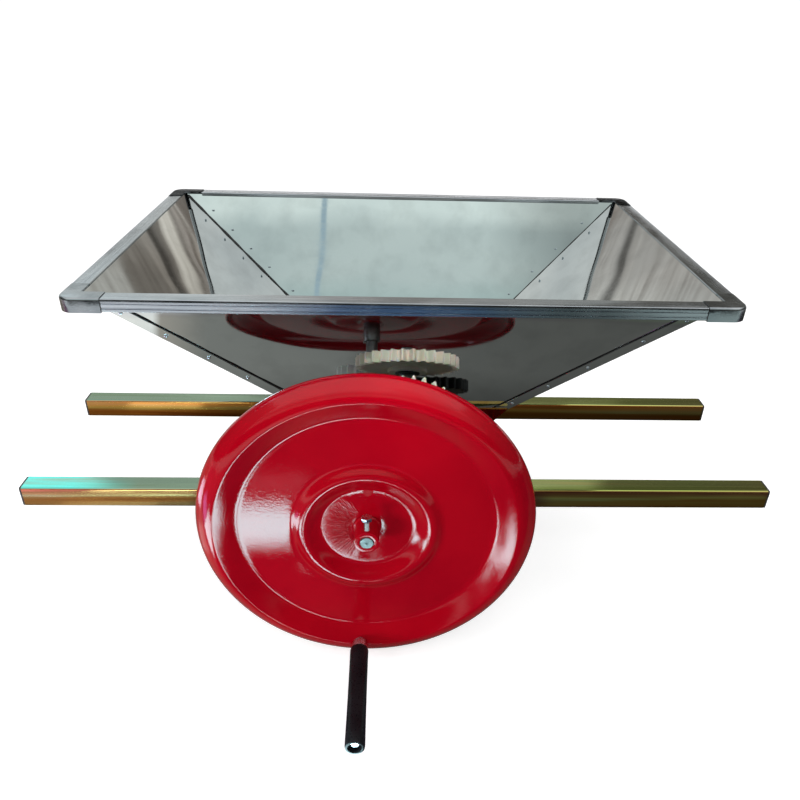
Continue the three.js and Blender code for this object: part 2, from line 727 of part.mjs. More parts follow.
const agitatorSleeve = (radius, y0, y1) => sleeve(bore, radius, AGITATOR_X, agitatorZ, y0, y1);
const washerFront = bossBack + FIT_GAP;
const washerBack = washerFront + WASHER_THICKNESS;
const nutBack = -GEAR_FRONT - FIT_GAP;
const largeNut = pin(LARGE_NUT_RADIUS, AGITATOR_X, agitatorZ, nutBack - LARGE_NUT_HEIGHT, nutBack, 6);
const largeNutHole = pin(bore, AGITATOR_X, agitatorZ, -REACH, REACH);
piece("agitator_rear_collar", agitatorSleeve(COLLAR_RADIUS, collarFront, collarBack), brightZinc);
piece(
  "agitator_spacer",
  agitatorSleeve(AGITATOR_SPACER_RADIUS, washerBack + FIT_GAP, -BLOCK_FRONT - FIT_GAP),
  shaftSteel,
);
piece("agitator_gear_washer", agitatorSleeve(WASHER_RADIUS, washerFront, washerBack), blackPlastic);
piece("agitator_gear_nut", cut(largeNut, largeNutHole), brightZinc);

// Agitator paddles: a ring with two arms each, set round the shaft in steps
function paddle(index) {
  const y = (index - (PADDLE_COUNT - 1) / 2) * PADDLE_SPACING;
  const y0 = y - PADDLE_THICKNESS / 2;
  const y1 = y + PADDLE_THICKNESS / 2;
  const half = PADDLE_WIDTH / 2;
  const reach = Math.sqrt(AGITATOR_RADIUS ** 2 - half ** 2);
  const arm = box(-reach, reach, y0, y1, -half, half);
  const ring = pin(PADDLE_RING, 0, 0, y0, y1);
  const whole = cut(joined(arm, ring), pin(bore, 0, 0, -REACH, REACH));
  const turn = (index * 180) / PADDLE_COUNT;
  return whole.rotate([0, turn, 0]).translate([AGITATOR_X, 0, agitatorZ]);
}

for (let i = 0; i < PADDLE_COUNT; i += 1) piece(`agitator_paddle_${i + 1}`, paddle(i), mirrorSteel);

// Flywheel dish: the front profile and the same line moved back by the sheet's thickness
function offsetProfile(points, distance) {
  return points.map(([radius, height], i) => {
    const before = points[Math.max(i - 1, 0)];
    const after = points[Math.min(i + 1, points.length - 1)];
    const along = new THREE.Vector2(after[0] - before[0], after[1] - before[1]).normalize();
    return [radius + along.y * distance, height - along.x * distance];
  });
}

function flywheelDish() {
  const back = offsetProfile(DISH_PROFILE, WHEEL_SHEET);
  back[0][0] = DISH_PROFILE[0][0];
  const ring = [...DISH_PROFILE, ...back.reverse()];
  const profile = ring.map(([radius, height]) => [radius, WHEEL_Y - height]);
  const dish = turned(profile, -rollerX, SHAFT_Z, WHEEL_SIDES);
  return cut(dish, pin(SPINDLE_RADIUS + FIT_GAP, handleX, handleZ, -REACH, 0, SMALL_ROUND));
}

function flywheelHub() {
  const hub = turned(
    [
      [bore, HUB_FRONT],
      [HUB_RADIUS, HUB_FRONT],
      [HUB_RADIUS, HUB_STEP],
      [HUB_REAR_RADIUS, HUB_STEP],
      [HUB_REAR_RADIUS, HUB_REAR],
      [bore, HUB_REAR],
    ],
    -rollerX,
    SHAFT_Z,
  );
  return cut(hub, upright(BOLT_RADIUS + FIT_GAP, SHAFT_Z, SHAFT_Z + HUB_RADIUS + 1, SMALL_ROUND));
}

// A round or six-sided pin that stands up from the hub at the set bolt's place
function upright(radius, z0, z1, sides) {
  const geometry = new THREE.CylinderGeometry(radius, radius, z1 - z0, sides);
  geometry.rotateX(Math.PI / 2);
  geometry.translate(-rollerX, SET_BOLT_Y, (z0 + z1) / 2);
  return solid(geometry);
}

function hubSetBolt() {
  const top = SHAFT_Z + SET_BOLT_TOP;
  const shank = upright(BOLT_RADIUS, SHAFT_Z + bore, top - 1, SMALL_ROUND);
  return joined(shank, upright(HEX_RADIUS, top - HEAD_HEIGHT, top, 6));
}

piece("flywheel", flywheelDish(), redPaint);
piece("flywheel_hub", flywheelHub(), redPaint);
piece("hub_set_bolt", hubSetBolt(), brightZinc);

// Handle: a headed spindle through the dish, a collar in front of it, and a free-turning grip
const atHandle = (radius, y0, y1, sides = SMALL_ROUND) => pin(radius, handleX, handleZ, y0, y1, sides);
const spindleRod = atHandle(SPINDLE_RADIUS, SPINDLE_FRONT, SPINDLE_REAR);
const spindleHead = atHandle(HANDLE_HEAD_RADIUS, SPINDLE_HEAD, SPINDLE_REAR, 6);
const screwHoleEnd = SPINDLE_FRONT + SCREW_LENGTH + 1;
const screwHole = atHandle(SCREW_RADIUS + FIT_GAP, SPINDLE_FRONT - 1, screwHoleEnd);
piece("handle_spindle", cut(joined(spindleRod, spindleHead), screwHole), brightZinc);

const spindleBore = SPINDLE_RADIUS + FIT_GAP;
const handleCollar = sleeve(
  spindleBore, HANDLE_COLLAR_RADIUS, handleX, handleZ, GRIP_REAR + FIT_GAP, dishFront - FIT_GAP,
);
piece("handle_collar", handleCollar, brightZinc);

const recessFloor = SPINDLE_FRONT + FIT_GAP;
const handleGrip = turned(
  [
    [spindleBore, recessFloor],
    [GRIP_RECESS, recessFloor],
    [GRIP_RECESS, GRIP_FRONT],
    [GRIP_RADIUS - GRIP_EDGE, GRIP_FRONT],
    [GRIP_RADIUS, GRIP_FRONT + GRIP_EDGE],
    [GRIP_WAIST, (GRIP_FRONT + GRIP_REAR) / 2],
    [GRIP_RADIUS, GRIP_REAR - GRIP_EDGE],
    [GRIP_RADIUS - GRIP_EDGE, GRIP_REAR],
    [spindleBore, GRIP_REAR],
  ],
  handleX,
  handleZ,
);
piece("handle_grip", handleGrip, blackPlastic);

const screwHeadBack = SPINDLE_FRONT - FIT_GAP;
const screwHead = atHandle(SCREW_HEAD_RADIUS, screwHeadBack - SCREW_HEAD_HEIGHT, screwHeadBack);
const screwShank = atHandle(SCREW_RADIUS, screwHeadBack - 1, SPINDLE_FRONT + SCREW_LENGTH);
piece("grip_screw", joined(screwHead, screwShank), brightZinc);

export default model;
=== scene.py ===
# %% [markdown]
# A hand-cranked apple mill in Blender. The real machine is a stainless hopper over two crushing
# rollers. A red flywheel with a handle turns them through nylon gears, and two zinc plated bars carry
# it over a vat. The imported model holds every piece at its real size, so this lesson only adds looks.

# %% Load the frame
import math

import bmesh
import bpy
from mathutils import Matrix, Vector


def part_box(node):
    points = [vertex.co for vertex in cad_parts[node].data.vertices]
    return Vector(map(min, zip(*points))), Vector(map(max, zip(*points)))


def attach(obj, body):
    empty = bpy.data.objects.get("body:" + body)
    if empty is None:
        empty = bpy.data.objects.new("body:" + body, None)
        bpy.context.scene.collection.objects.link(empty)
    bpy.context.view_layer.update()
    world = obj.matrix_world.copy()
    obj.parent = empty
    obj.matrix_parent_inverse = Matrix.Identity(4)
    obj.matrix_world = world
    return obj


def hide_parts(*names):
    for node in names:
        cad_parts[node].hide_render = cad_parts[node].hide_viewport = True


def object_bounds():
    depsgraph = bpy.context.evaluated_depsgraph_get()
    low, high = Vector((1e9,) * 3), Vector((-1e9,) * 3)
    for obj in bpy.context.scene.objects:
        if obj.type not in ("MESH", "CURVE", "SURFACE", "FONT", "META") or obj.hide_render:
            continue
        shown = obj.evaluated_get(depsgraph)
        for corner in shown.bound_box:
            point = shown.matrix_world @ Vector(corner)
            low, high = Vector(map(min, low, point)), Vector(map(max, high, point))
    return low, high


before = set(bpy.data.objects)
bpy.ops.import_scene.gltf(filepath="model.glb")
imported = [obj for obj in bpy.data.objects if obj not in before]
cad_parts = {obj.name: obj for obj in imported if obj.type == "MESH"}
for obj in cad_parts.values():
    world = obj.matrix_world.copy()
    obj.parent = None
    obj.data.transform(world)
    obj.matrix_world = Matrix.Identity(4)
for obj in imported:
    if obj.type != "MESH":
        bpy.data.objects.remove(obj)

MM = 0.001
cad_low, cad_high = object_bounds()
scene = bpy.context.scene
print("nodes", len(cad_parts), "size in mm", [round(v / MM) for v in cad_high - cad_low])

# %% [markdown]
# Sizes are read from the frame wherever a piece stands in for one of its nodes, so the two can't drift
# apart. Three axes run along Y: the crank's, the driven roller's and the agitator's. Each one is the
# middle of its shaft's box.

# %% Read places from the frame
def box_mm(node):
    low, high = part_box(node)
    return low / MM, high / MM


def axis_of(node):
    low, high = box_mm(node)
    middle = (low + high) / 2
    return middle.x, middle.z


CRANK_AXIS = axis_of("crank_shaft")
DRIVEN_AXIS = axis_of("driven_shaft")
AGITATOR_AXIS = axis_of("agitator_shaft")
HANDLE_AXIS = axis_of("handle_grip")
print("crank axis x, z in mm", CRANK_AXIS, "handle", HANDLE_AXIS)

# %% [markdown]
# The camera stands in front of the wheel, a little above it, and looks down at about 31 degrees. A wide
# lens close to the mill gives the strong perspective of the photograph. Its place came from matching
# the corners of the rim and the bars. The small lens shift only centres the picture.

# %% Camera
CAMERA_PLACE = (-0.0257, -1.0529, 0.6776)
CAMERA_YAW = 2.73
CAMERA_DOWN = 31.13
CAMERA_ROLL = 1.86
FOCAL_PIXELS = 721.55
CENTRE_PIXEL = (415.47, 433.53)
PICTURE = 800
SENSOR = 36.0

camera_data = bpy.data.cameras.new("camera")
camera_data.sensor_width = SENSOR
camera_data.lens = SENSOR * FOCAL_PIXELS / PICTURE
camera_data.shift_x = (PICTURE / 2 - CENTRE_PIXEL[0]) / PICTURE
camera_data.shift_y = (CENTRE_PIXEL[1] - PICTURE / 2) / PICTURE
camera = bpy.data.objects.new("camera", camera_data)
scene.collection.objects.link(camera)
turn = Matrix.Rotation(-math.radians(CAMERA_YAW), 4, "Z")
tilt = Matrix.Rotation(math.radians(90 - CAMERA_DOWN), 4, "X")
roll = Matrix.Rotation(math.radians(CAMERA_ROLL), 4, "Z")
camera.matrix_world = Matrix.Translation(CAMERA_PLACE) @ turn @ tilt @ roll
scene.camera = camera
print("lens in mm", round(camera_data.lens, 2))

# %% [markdown]
# Materials are node trees. A few short helpers keep them readable: one starts a finish, one adds a
# node, one makes clouds of noise that can be stretched into brush lines, and one turns a height into
# a bump. Every pattern reads Object coordinates, so it stays on the piece from any side.

# %% Helpers for finishes
def new_finish(name, **sockets):
    material = bpy.data.materials.new(name)
    material.use_nodes = True
    shader = material.node_tree.nodes["Principled BSDF"]
    for socket, value in sockets.items():
        shader.inputs[socket.replace("_", " ")].default_value = value
    return material, material.node_tree, shader


def add(tree, kind, inputs=None, **settings):
    node = tree.nodes.new(kind)
    for key, value in settings.items():
        setattr(node, key, value)
    for key, value in (inputs or {}).items():
        if isinstance(value, bpy.types.NodeSocket):
            tree.links.new(value, node.inputs[key])
        else:
            node.inputs[key].default_value = value
    return node


def place(tree, stretch=(1, 1, 1), centre=(0, 0, 0), turned=(0, 0, 0)):
    coordinates = add(tree, "ShaderNodeTexCoord").outputs["Object"]
    moved = add(tree, "ShaderNodeVectorMath", {0: coordinates, 1: centre}, operation="SUBTRACT")
    inputs = {"Vector": moved.outputs[0], "Rotation": turned, "Scale": stretch}
    return add(tree, "ShaderNodeMapping", inputs).outputs[0]


def clouds(tree, scale, stretch=(1, 1, 1), detail=4.0, distortion=0.0):
    settings = {"Vector": place(tree, stretch), "Scale": scale, "Detail": detail, "Distortion": distortion}
    return add(tree, "ShaderNodeTexNoise", settings).outputs[0]


def spread(tree, value, low, high, start=0.35, end=0.65):
    inputs = {"Value": value, "From Min": start, "From Max": end, "To Min": low, "To Max": high}
    return add(tree, "ShaderNodeMapRange", inputs).outputs[0]


def sums(tree, operation, first, second=0.0):
    return add(tree, "ShaderNodeMath", {0: first, 1: second}, operation=operation).outputs[0]


def ramp(tree, value, *stops):
    node = add(tree, "ShaderNodeValToRGB", {"Fac": value})
    elements = node.color_ramp.elements
    while len(elements) < len(stops):
        elements.new(1.0)
    for element, (position, colour) in zip(elements, stops):
        element.position = position
        element.color = (*colour, 1.0)
    return node.outputs[0]


def blended(tree, value, first, second, kind="MIX"):
    node = add(tree, "ShaderNodeMix", data_type="RGBA", blend_type=kind)
    for socket, source in (("Factor", value), ("A", first), ("B", second)):
        plug = next(i for i in node.inputs if i.name == socket and i.enabled)
        if isinstance(source, bpy.types.NodeSocket):
            tree.links.new(source, plug)
        else:
            plug.default_value = (*source, 1.0) if socket != "Factor" else source
    return next(o for o in node.outputs if o.enabled)


def facing(tree, axis):
    normal = add(tree, "ShaderNodeTexCoord").outputs["Normal"]
    return add(tree, "ShaderNodeSeparateXYZ", {"Vector": normal}).outputs[axis]


def relief(tree, shader, height, depth, socket="Normal"):
    inputs = {"Height": height, "Distance": depth, "Strength": 1.0}
    if shader.inputs[socket].links:
        inputs["Normal"] = shader.inputs[socket].links[0].from_socket
    bump = add(tree, "ShaderNodeBump", inputs)
    tree.links.new(bump.outputs[0], shader.inputs[socket])


print("finish helpers ready")

# %% [markdown]
# The hopper is bright rolled stainless sheet. A perfect mirror would look like glass, so three things
# are added: slow waves, because thin sheet is never quite flat, faint wiping marks in the roughness,
# and hair-fine rolling lines.

# %% Stainless sheet
def make_sheet_steel():
    material, tree, shader = new_finish("stainless_sheet", Metallic=1.0)
    stains = clouds(tree, 3.0, detail=3.0, distortion=0.6)
    tone = ramp(tree, stains, (0.35, (0.60, 0.64, 0.64)), (0.65, (0.70, 0.73, 0.72)))
    wiping = clouds(tree, 26.0, detail=6.0)
    smears = ramp(tree, wiping, (0.30, (0.90, 0.90, 0.90)), (0.55, (1.0, 1.0, 1.0)))
    tree.links.new(blended(tree, 1.0, tone, smears, "MULTIPLY"), shader.inputs["Base Color"])
    wiped = spread(tree, clouds(tree, 7.0, (1, 1, 2.5), detail=5.0), 0.01, 0.04)
    lines = spread(tree, clouds(tree, 260.0, (0.03, 1, 1), detail=2.0), 0.0, 0.02)
    tree.links.new(sums(tree, "ADD", wiped, lines), shader.inputs["Roughness"])
    relief(tree, shader, clouds(tree, 5.0, detail=1.0), 0.0010)
    return material


stainless_sheet = make_sheet_steel()
print("made", stainless_sheet.name)

# %% [markdown]
# The rim's trim is drawn stainless strip: its brush lines run along it. A long thin noise gives them,
# stretched along X for the front and rear strips and along Y for the sides. The pressed corner caps
# are coarser and duller, with marks from handling, and the rear pair is painted darker: painted shade.

# %% Trim and corner caps
def make_trim(name, stretch):
    material, tree, shader = new_finish(name, Metallic=1.0)
    brush = clouds(tree, 420.0, stretch, detail=3.0)
    patches = clouds(tree, 14.0, detail=3.0)
    tone = ramp(tree, brush, (0.3, (0.46, 0.50, 0.53)), (0.7, (0.66, 0.70, 0.73)))
    worn = ramp(tree, patches, (0.35, (0.80, 0.82, 0.84)), (0.7, (1.0, 1.0, 1.0)))
    tree.links.new(blended(tree, 1.0, tone, worn, "MULTIPLY"), shader.inputs["Base Color"])
    tree.links.new(spread(tree, patches, 0.14, 0.26), shader.inputs["Roughness"])
    relief(tree, shader, brush, 0.00003)
    return material


def make_cap_steel(name, dark, light, at_edge):
    tint = (at_edge, at_edge, at_edge, 1.0)
    material, tree, shader = new_finish(name, Metallic=1.0, Specular_Tint=tint)
    grain = clouds(tree, 500.0, (1, 1, 0.25), detail=4.0)
    patches = clouds(tree, 30.0, detail=5.0, distortion=0.4)
    tone = ramp(tree, patches, (0.3, dark), (0.7, light))
    tree.links.new(tone, shader.inputs["Base Color"])
    tree.links.new(spread(tree, patches, 0.13, 0.24), shader.inputs["Roughness"])
    relief(tree, shader, grain, 0.00006)
    relief(tree, shader, clouds(tree, 60.0), 0.0003)
    return material


trim_along_x = make_trim("trim_brushed_along_x", (0.02, 1, 1))
trim_along_y = make_trim("trim_brushed_along_y", (1, 0.02, 1))
front_cap_steel = make_cap_steel("front_cap_steel", (0.28, 0.31, 0.33), (0.46, 0.49, 0.51), 1.0)
# The rear caps are the same steel painted darker: painted shade.
shaded_rear_cap_steel = make_cap_steel("shaded_rear_cap_steel", (0.11, 0.12, 0.13), (0.19, 0.20, 0.21), 0.35)
print("made", trim_along_x.name, trim_along_y.name, front_cap_steel.name, shaded_rear_cap_steel.name)

# %% [markdown]
# Yellow zinc plating shows gold, olive, green and pink, because its film varies in thickness. A ramp
# over long stretched clouds gives the streaks of drawn tube. On the bars, light is also painted by place:
# the tops are greener and yellower towards the right, a painted reflection; the upper half of a side is
# paler, a painted reflection, and the lower half darker and browner, painted shade. A mint sheen is
# painted on the tops at the left end of the front bar, and that bar's sides are warmer. The normal and
# Object coordinates say where a point lies.

# %% Yellow zinc
def zinc_surface(tree, shader):
    lines = clouds(tree, 350.0, (0.02, 1, 1), detail=2.0)
    tree.links.new(spread(tree, lines, 0.07, 0.14), shader.inputs["Roughness"])
    relief(tree, shader, lines, 0.00001)
    relief(tree, shader, clouds(tree, 12.0, detail=1.0), 0.0003)


def golden_film(tree, film):
    return ramp(
        tree,
        film,
        (0.30, (0.42, 0.19, 0.05)),
        (0.45, (0.58, 0.32, 0.09)),
        (0.58, (0.56, 0.40, 0.15)),
        (0.72, (0.48, 0.46, 0.26)),
    )


def make_plate_zinc():
    material, tree, shader = new_finish("yellow_zinc_plate", Metallic=1.0)
    film = clouds(tree, 16.0, detail=3.0, distortion=0.6)
    tree.links.new(golden_film(tree, film), shader.inputs["Base Color"])
    zinc_surface(tree, shader)
    return material


def make_bar_zinc():
    material, tree, shader = new_finish("yellow_zinc_bar", Metallic=1.0)
    film = clouds(tree, 5.0, (0.35, 14.0, 14.0), detail=3.0, distortion=0.4)
    spot = add(tree, "ShaderNodeSeparateXYZ", {"Vector": place(tree)}).outputs
    height = spread(tree, spot["Z"], 0.0, 1.0, 0.0, BAR_HEIGHT)
    wavy = sums(tree, "ADD", height, spread(tree, film, -0.10, 0.10))
    # Painted light on the sides: the upper half paler and bluer as a painted reflection, the bottom darker
    # as painted shade.
    side_reflection_and_shade = ramp(
        tree,
        wavy,
        (0.00, (0.30, 0.26, 0.24)),
        (0.14, (0.62, 0.56, 0.50)),
        (0.46, (0.70, 0.62, 0.56)),
        (0.60, (1.10, 1.60, 2.00)),
        (0.86, (1.45, 1.40, 1.80)),
        (1.00, (1.30, 1.30, 1.60)),
    )
    side = blended(tree, 1.0, golden_film(tree, film), side_reflection_and_shade, "MULTIPLY")
    in_front = spread(tree, spot["Y"], 1.0, 0.0, -0.01, 0.01)
    warmer = blended(tree, 1.0, side, (1.05, 0.72, 0.40), "MULTIPLY")
    side = blended(tree, in_front, warmer, side)
    greenish = ramp(
        tree,
        film,
        (0.30, (0.40, 0.52, 0.28)),
        (0.45, (0.58, 0.70, 0.52)),
        (0.60, (0.50, 0.62, 0.48)),
        (0.72, (0.70, 0.66, 0.50)),
    )
    along = spread(tree, spot["X"], 0.0, 1.0, -0.57, 0.57)
    # The tops' tint, yellower towards the right, is a painted reflection.
    top_reflection_tint = ramp(
        tree,
        along,
        (0.00, (0.50, 0.56, 0.54)),
        (0.35, (0.46, 0.54, 0.54)),
        (0.60, (1.00, 1.00, 0.55)),
        (0.90, (1.00, 0.95, 0.42)),
        (1.00, (1.05, 0.85, 0.42)),
    )
    top = blended(tree, 1.0, greenish, top_reflection_tint, "MULTIPLY")
    # Top faces take the top tint and the rest the side tone, so the painted reflection follows the normal.
    upward = spread(tree, facing(tree, "Z"), 0.0, 1.0, 0.55, 0.85)
    tone = blended(tree, upward, side, top)
    at_end = spread(tree, spot["X"], 1.0, 0.0, -0.50, -0.40)
    streaky = spread(tree, clouds(tree, 9.0, (0.4, 6.0, 6.0), detail=4.0), 0.15, 1.0, 0.40, 0.56)
    on_top = sums(tree, "MULTIPLY", streaky, upward)
    # A painted mint sheen on the tops at the front bar's left end.
    painted_mint_sheen = sums(tree, "MULTIPLY", sums(tree, "MULTIPLY", at_end, in_front), on_top)
    tree.links.new(blended(tree, painted_mint_sheen, tone, (0.14, 0.72, 0.64)), shader.inputs["Base Color"])
    zinc_surface(tree, shader)
    return material


BAR_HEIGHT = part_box("front_bar")[1].z
plate_zinc = make_plate_zinc()
bar_zinc = make_bar_zinc()
print("made", plate_zinc.name, bar_zinc.name)

# %% [markdown]
# The flywheel is sprayed thick and glossy. Base colour and a clear coat make the gloss, and fine
# dimples in the coat, called orange peel, break up the edges of reflections. Left of the hub the paint
# has wrinkled into fine radial creases. Their pattern is noise over the angle round the hub, faded out
# by radius and direction.

# %% Red paint
CREASE_IN = 0.022
CREASE_OUT = 0.060
CREASE_DEPTH = 0.0035
ORANGE_PEEL = 0.00010
SLOW_WAVES = 0.00012
# The back of the dish is painted darker than the front: painted shade, where the back lies in shadow.
BACK_PAINTED_SHADE = (0.24, 0.004, 0.010)


def make_red_paint():
    coat = {"Coat_Weight": 1.0, "Coat_Roughness": 0.03, "Coat_IOR": 1.45}
    material, tree, shader = new_finish("red_paint", Roughness=0.5, Specular_IOR_Level=0.0, **coat)
    mottled = clouds(tree, 9.0, detail=3.0)
    tone = ramp(tree, mottled, (0.35, (0.29, 0.0, 0.006)), (0.65, (0.34, 0.001, 0.0075)))
    # Faces that look backwards take the darker back colour, as painted shade.
    back = spread(tree, facing(tree, "Y"), 0.0, 1.0, 0.1, 0.4)
    tree.links.new(blended(tree, back, tone, BACK_PAINTED_SHADE), shader.inputs["Base Color"])
    centre = (CRANK_AXIS[0] * MM, 0.0, CRANK_AXIS[1] * MM)
    from_hub = add(tree, "ShaderNodeSeparateXYZ", {"Vector": place(tree, centre=centre)})
    across, up = from_hub.outputs["X"], from_hub.outputs["Z"]
    square = sums(tree, "ADD", sums(tree, "MULTIPLY", across, across), sums(tree, "MULTIPLY", up, up))
    radius = sums(tree, "SQRT", square)
    angle = sums(tree, "ARCTAN2", up, sums(tree, "MULTIPLY", across, -1.0))
    polar = add(tree, "ShaderNodeCombineXYZ", {"X": angle, "Y": radius})
    settings = {"Vector": polar.outputs[0], "Scale": 24.0, "Detail": 6.0, "Distortion": 0.5}
    creases = add(tree, "ShaderNodeTexNoise", settings).outputs[0]
    near = spread(tree, radius, 1.0, 0.0, CREASE_OUT - 0.012, CREASE_OUT)
    far = spread(tree, radius, 0.0, 1.0, CREASE_IN, CREASE_IN + 0.008)
    side = spread(tree, sums(tree, "ABSOLUTE", angle), 1.0, 0.0, 0.7, 1.15)
    where = sums(tree, "MULTIPLY", sums(tree, "MULTIPLY", near, far), side)
    for socket in ("Normal", "Coat Normal"):
        relief(tree, shader, sums(tree, "MULTIPLY", creases, where), CREASE_DEPTH, socket)
        relief(tree, shader, clouds(tree, 430.0, detail=2.0), ORANGE_PEEL, socket)
        relief(tree, shader, clouds(tree, 22.0, detail=1.0), SLOW_WAVES, socket)
    return material


red_paint = make_red_paint()
print("made", red_paint.name)

# %% [markdown]
# Screws and collars are bright zinc, shafts are ground steel and the rollers are cast aluminium. A
# picture of each metal would do, but noise needs no file and never repeats. One function makes all
# three: patches give two tones of the metal, and a fine grain goes into the roughness and the bump.

# %% Small metals
def make_metal(name, dark, light, rough, grain, stretch=(1, 1, 1), depth=0.00003):
    material, tree, shader = new_finish(name, Metallic=1.0)
    fine = clouds(tree, grain, stretch, detail=3.0)
    patches = clouds(tree, 45.0, detail=4.0)
    tree.links.new(ramp(tree, patches, (0.35, dark), (0.65, light)), shader.inputs["Base Color"])
    tree.links.new(spread(tree, fine, *rough), shader.inputs["Roughness"])
    relief(tree, shader, fine, depth)
    return material


bright_zinc = make_metal("bright_zinc", (0.56, 0.62, 0.68), (0.74, 0.79, 0.83), (0.18, 0.32), 600.0)
ground_steel = make_metal(
    "ground_steel", (0.18, 0.20, 0.20), (0.32, 0.34, 0.33), (0.28, 0.44), 900.0, (0.3, 3, 0.3)
)
cast_aluminium = make_metal(
    "cast_aluminium", (0.52, 0.53, 0.54), (0.66, 0.67, 0.68), (0.32, 0.50), 240.0, depth=0.00015
)
print("made", bright_zinc.name, ground_steel.name, cast_aluminium.name)

# %% [markdown]
# The gears and bearing blocks are nylon, and the end plugs, the bushes and the grip are black plastic.
# Nylon lets a little light in, so it gets some subsurface. A moulded skin has a faint grain, so a second
# function adds one, as the first does for metal.

# %% Plastics
def make_plastic(name, dark, light, rough, grain=160.0, depth=0.00008, **sockets):
    material, tree, shader = new_finish(name, **sockets)
    fine = clouds(tree, grain, detail=4.0)
    patches = clouds(tree, 18.0, detail=4.0)
    tree.links.new(ramp(tree, patches, (0.35, dark), (0.65, light)), shader.inputs["Base Color"])
    tree.links.new(spread(tree, fine, *rough), shader.inputs["Roughness"])
    relief(tree, shader, fine, depth)
    return material


nylon_glow = {"Subsurface_Weight": 0.25, "Subsurface_Scale": 0.002}
white_nylon = make_plastic(
    "white_nylon", (0.78, 0.84, 0.83), (0.88, 0.92, 0.91), (0.35, 0.5), **nylon_glow
)
beige_nylon = make_plastic(
    "beige_nylon", (0.80, 0.75, 0.62), (0.89, 0.84, 0.72), (0.4, 0.55), **nylon_glow
)
black_nylon = make_plastic("black_nylon", (0.010, 0.011, 0.012), (0.022, 0.023, 0.025), (0.35, 0.5))
black_plastic = make_plastic("black_plastic", (0.012, 0.012, 0.012), (0.03, 0.03, 0.03), (0.45, 0.6))
grip_plastic = make_plastic(
    "grip_plastic",
    (0.004, 0.0045, 0.006),
    (0.009, 0.010, 0.012),
    (0.26, 0.36),
    420.0,
    0.00004,
    Specular_IOR_Level=0.14,
)
print("made", white_nylon.name, beige_nylon.name, black_nylon.name, grip_plastic.name)

# %% [markdown]
# Every new piece ends the same way: its bmesh becomes a mesh, it gets a finish and smooth shading with
# sharp edges kept, it rides on a body of the frame, and it stands for the nodes that it replaces.

# %% Finish a piece
def finish_piece(bm, name, body, material, stands_for=(), smooth=35.0):
    mesh = bpy.data.meshes.new(name)
    bm.to_mesh(mesh)
    bm.free()
    mesh.materials.append(material)
    mesh.shade_smooth()
    mesh.set_sharp_from_angle(angle=math.radians(smooth))
    piece = bpy.data.objects.new(name, mesh)
    scene.collection.objects.link(piece)
    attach(piece, body)
    if stands_for:
        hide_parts(*stands_for)
    print(name, "faces", len(mesh.polygons), "on", body)
    return piece


def keep_flat(piece):
    """Wide faces keep their own direction, and only the small ones at the edges bend the light."""
    weighted = piece.modifiers.new("flat_faces", "WEIGHTED_NORMAL")
    weighted.keep_sharp = True
    return piece


# %% [markdown]
# A lot of this machine is turned on a lathe: shafts, sleeves, bushes, the hub and the grip. On the
# screen the same thing is a spin: a profile of radius and length goes round an axis. Where a profile
# starts and ends on the axis it is left open, and its poles are merged.

# %% Turned pieces
DIRECTIONS = {"Y": Vector((0, 1, 0)), "Z": Vector((0, 0, 1))}


def turned_mesh(profile, centre, along="Y", steps=48):
    bm = bmesh.new()
    direction = DIRECTIONS[along]
    start = Vector(centre) * MM
    points = [bm.verts.new(start + Vector((r, 0, 0)) * MM + direction * t * MM) for r, t in profile]
    pairs = list(zip(points, points[1:]))
    if profile[0][0] > 0:
        pairs.append((points[-1], points[0]))
    edges = [bm.edges.new(pair) for pair in pairs]
    bmesh.ops.spin(
        bm, geom=points + edges, cent=start, axis=direction, angle=math.tau, steps=steps, use_merge=True
    )
    bmesh.ops.remove_doubles(bm, verts=bm.verts, dist=0.001 * MM)
    bmesh.ops.recalc_face_normals(bm, faces=bm.faces)
    return bm


def on_axis(axis):
    return (axis[0], 0.0, axis[1])


def rounded(profile, size):
    """The same closed or open profile with each corner cut twice, as a small radius."""
    made = []
    closed = profile[0][0] > 0
    for i, point in enumerate(profile):
        here = Vector(point)
        if not closed and i in (0, len(profile) - 1):
            made.append(tuple(here))
            continue
        before = Vector(profile[i - 1]) - here
        after = Vector(profile[(i + 1) % len(profile)]) - here
        cut = min(size, before.length * 0.4, after.length * 0.4)
        first, last = here + before.normalized() * cut, here + after.normalized() * cut
        middle = (first + last) / 4 + here / 2
        made += [tuple(first), tuple(middle), tuple(last)]
    return made


def sleeve_profile(inner, outer, start, end):
    return [(inner, start), (outer, start), (outer, end), (inner, end)]


print("lathe helpers ready")

# %% [markdown]
# Other pieces keep the exact shape of their node and only need worn, rounded edges, because no real
# edge is perfectly sharp. Their mesh is copied, its loose triangles are merged and joined into flat
# faces, and the sharp edges are bevelled.

# %% Copies with rounded edges
def copy_of(node):
    bm = bmesh.new()
    bm.from_mesh(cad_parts[node].data)
    bmesh.ops.remove_doubles(bm, verts=bm.verts, dist=0.002 * MM)
    bmesh.ops.dissolve_limit(
        bm, angle_limit=math.radians(0.4), use_dissolve_boundaries=False, verts=bm.verts, edges=bm.edges
    )
    return bm


def bevel_edges(bm, edges, width, segments, **more):
    bmesh.ops.bevel(
        bm,
        geom=edges,
        offset=width * MM,
        offset_type="OFFSET",
        affect="EDGES",
        segments=segments,
        profile=0.5,
        material=-1,
        **more,
    )


def round_edges(bm, width, segments=2, sharper_than=30.0, wanted=None):
    limit = math.radians(sharper_than)
    edges = [e for e in bm.edges if e.is_manifold and e.calc_face_angle() > limit]
    if wanted:
        edges = [e for e in edges if wanted(e)]
    bevel_edges(bm, edges, width, segments, clamp_overlap=True)
    return bm


def softened(node, body, material, width, segments=2, smooth=35.0):
    bm = round_edges(copy_of(node), width, segments, min(smooth, 30.0))
    return keep_flat(finish_piece(bm, node + "_finished", body, material, [node], smooth))


print("edge helpers ready")

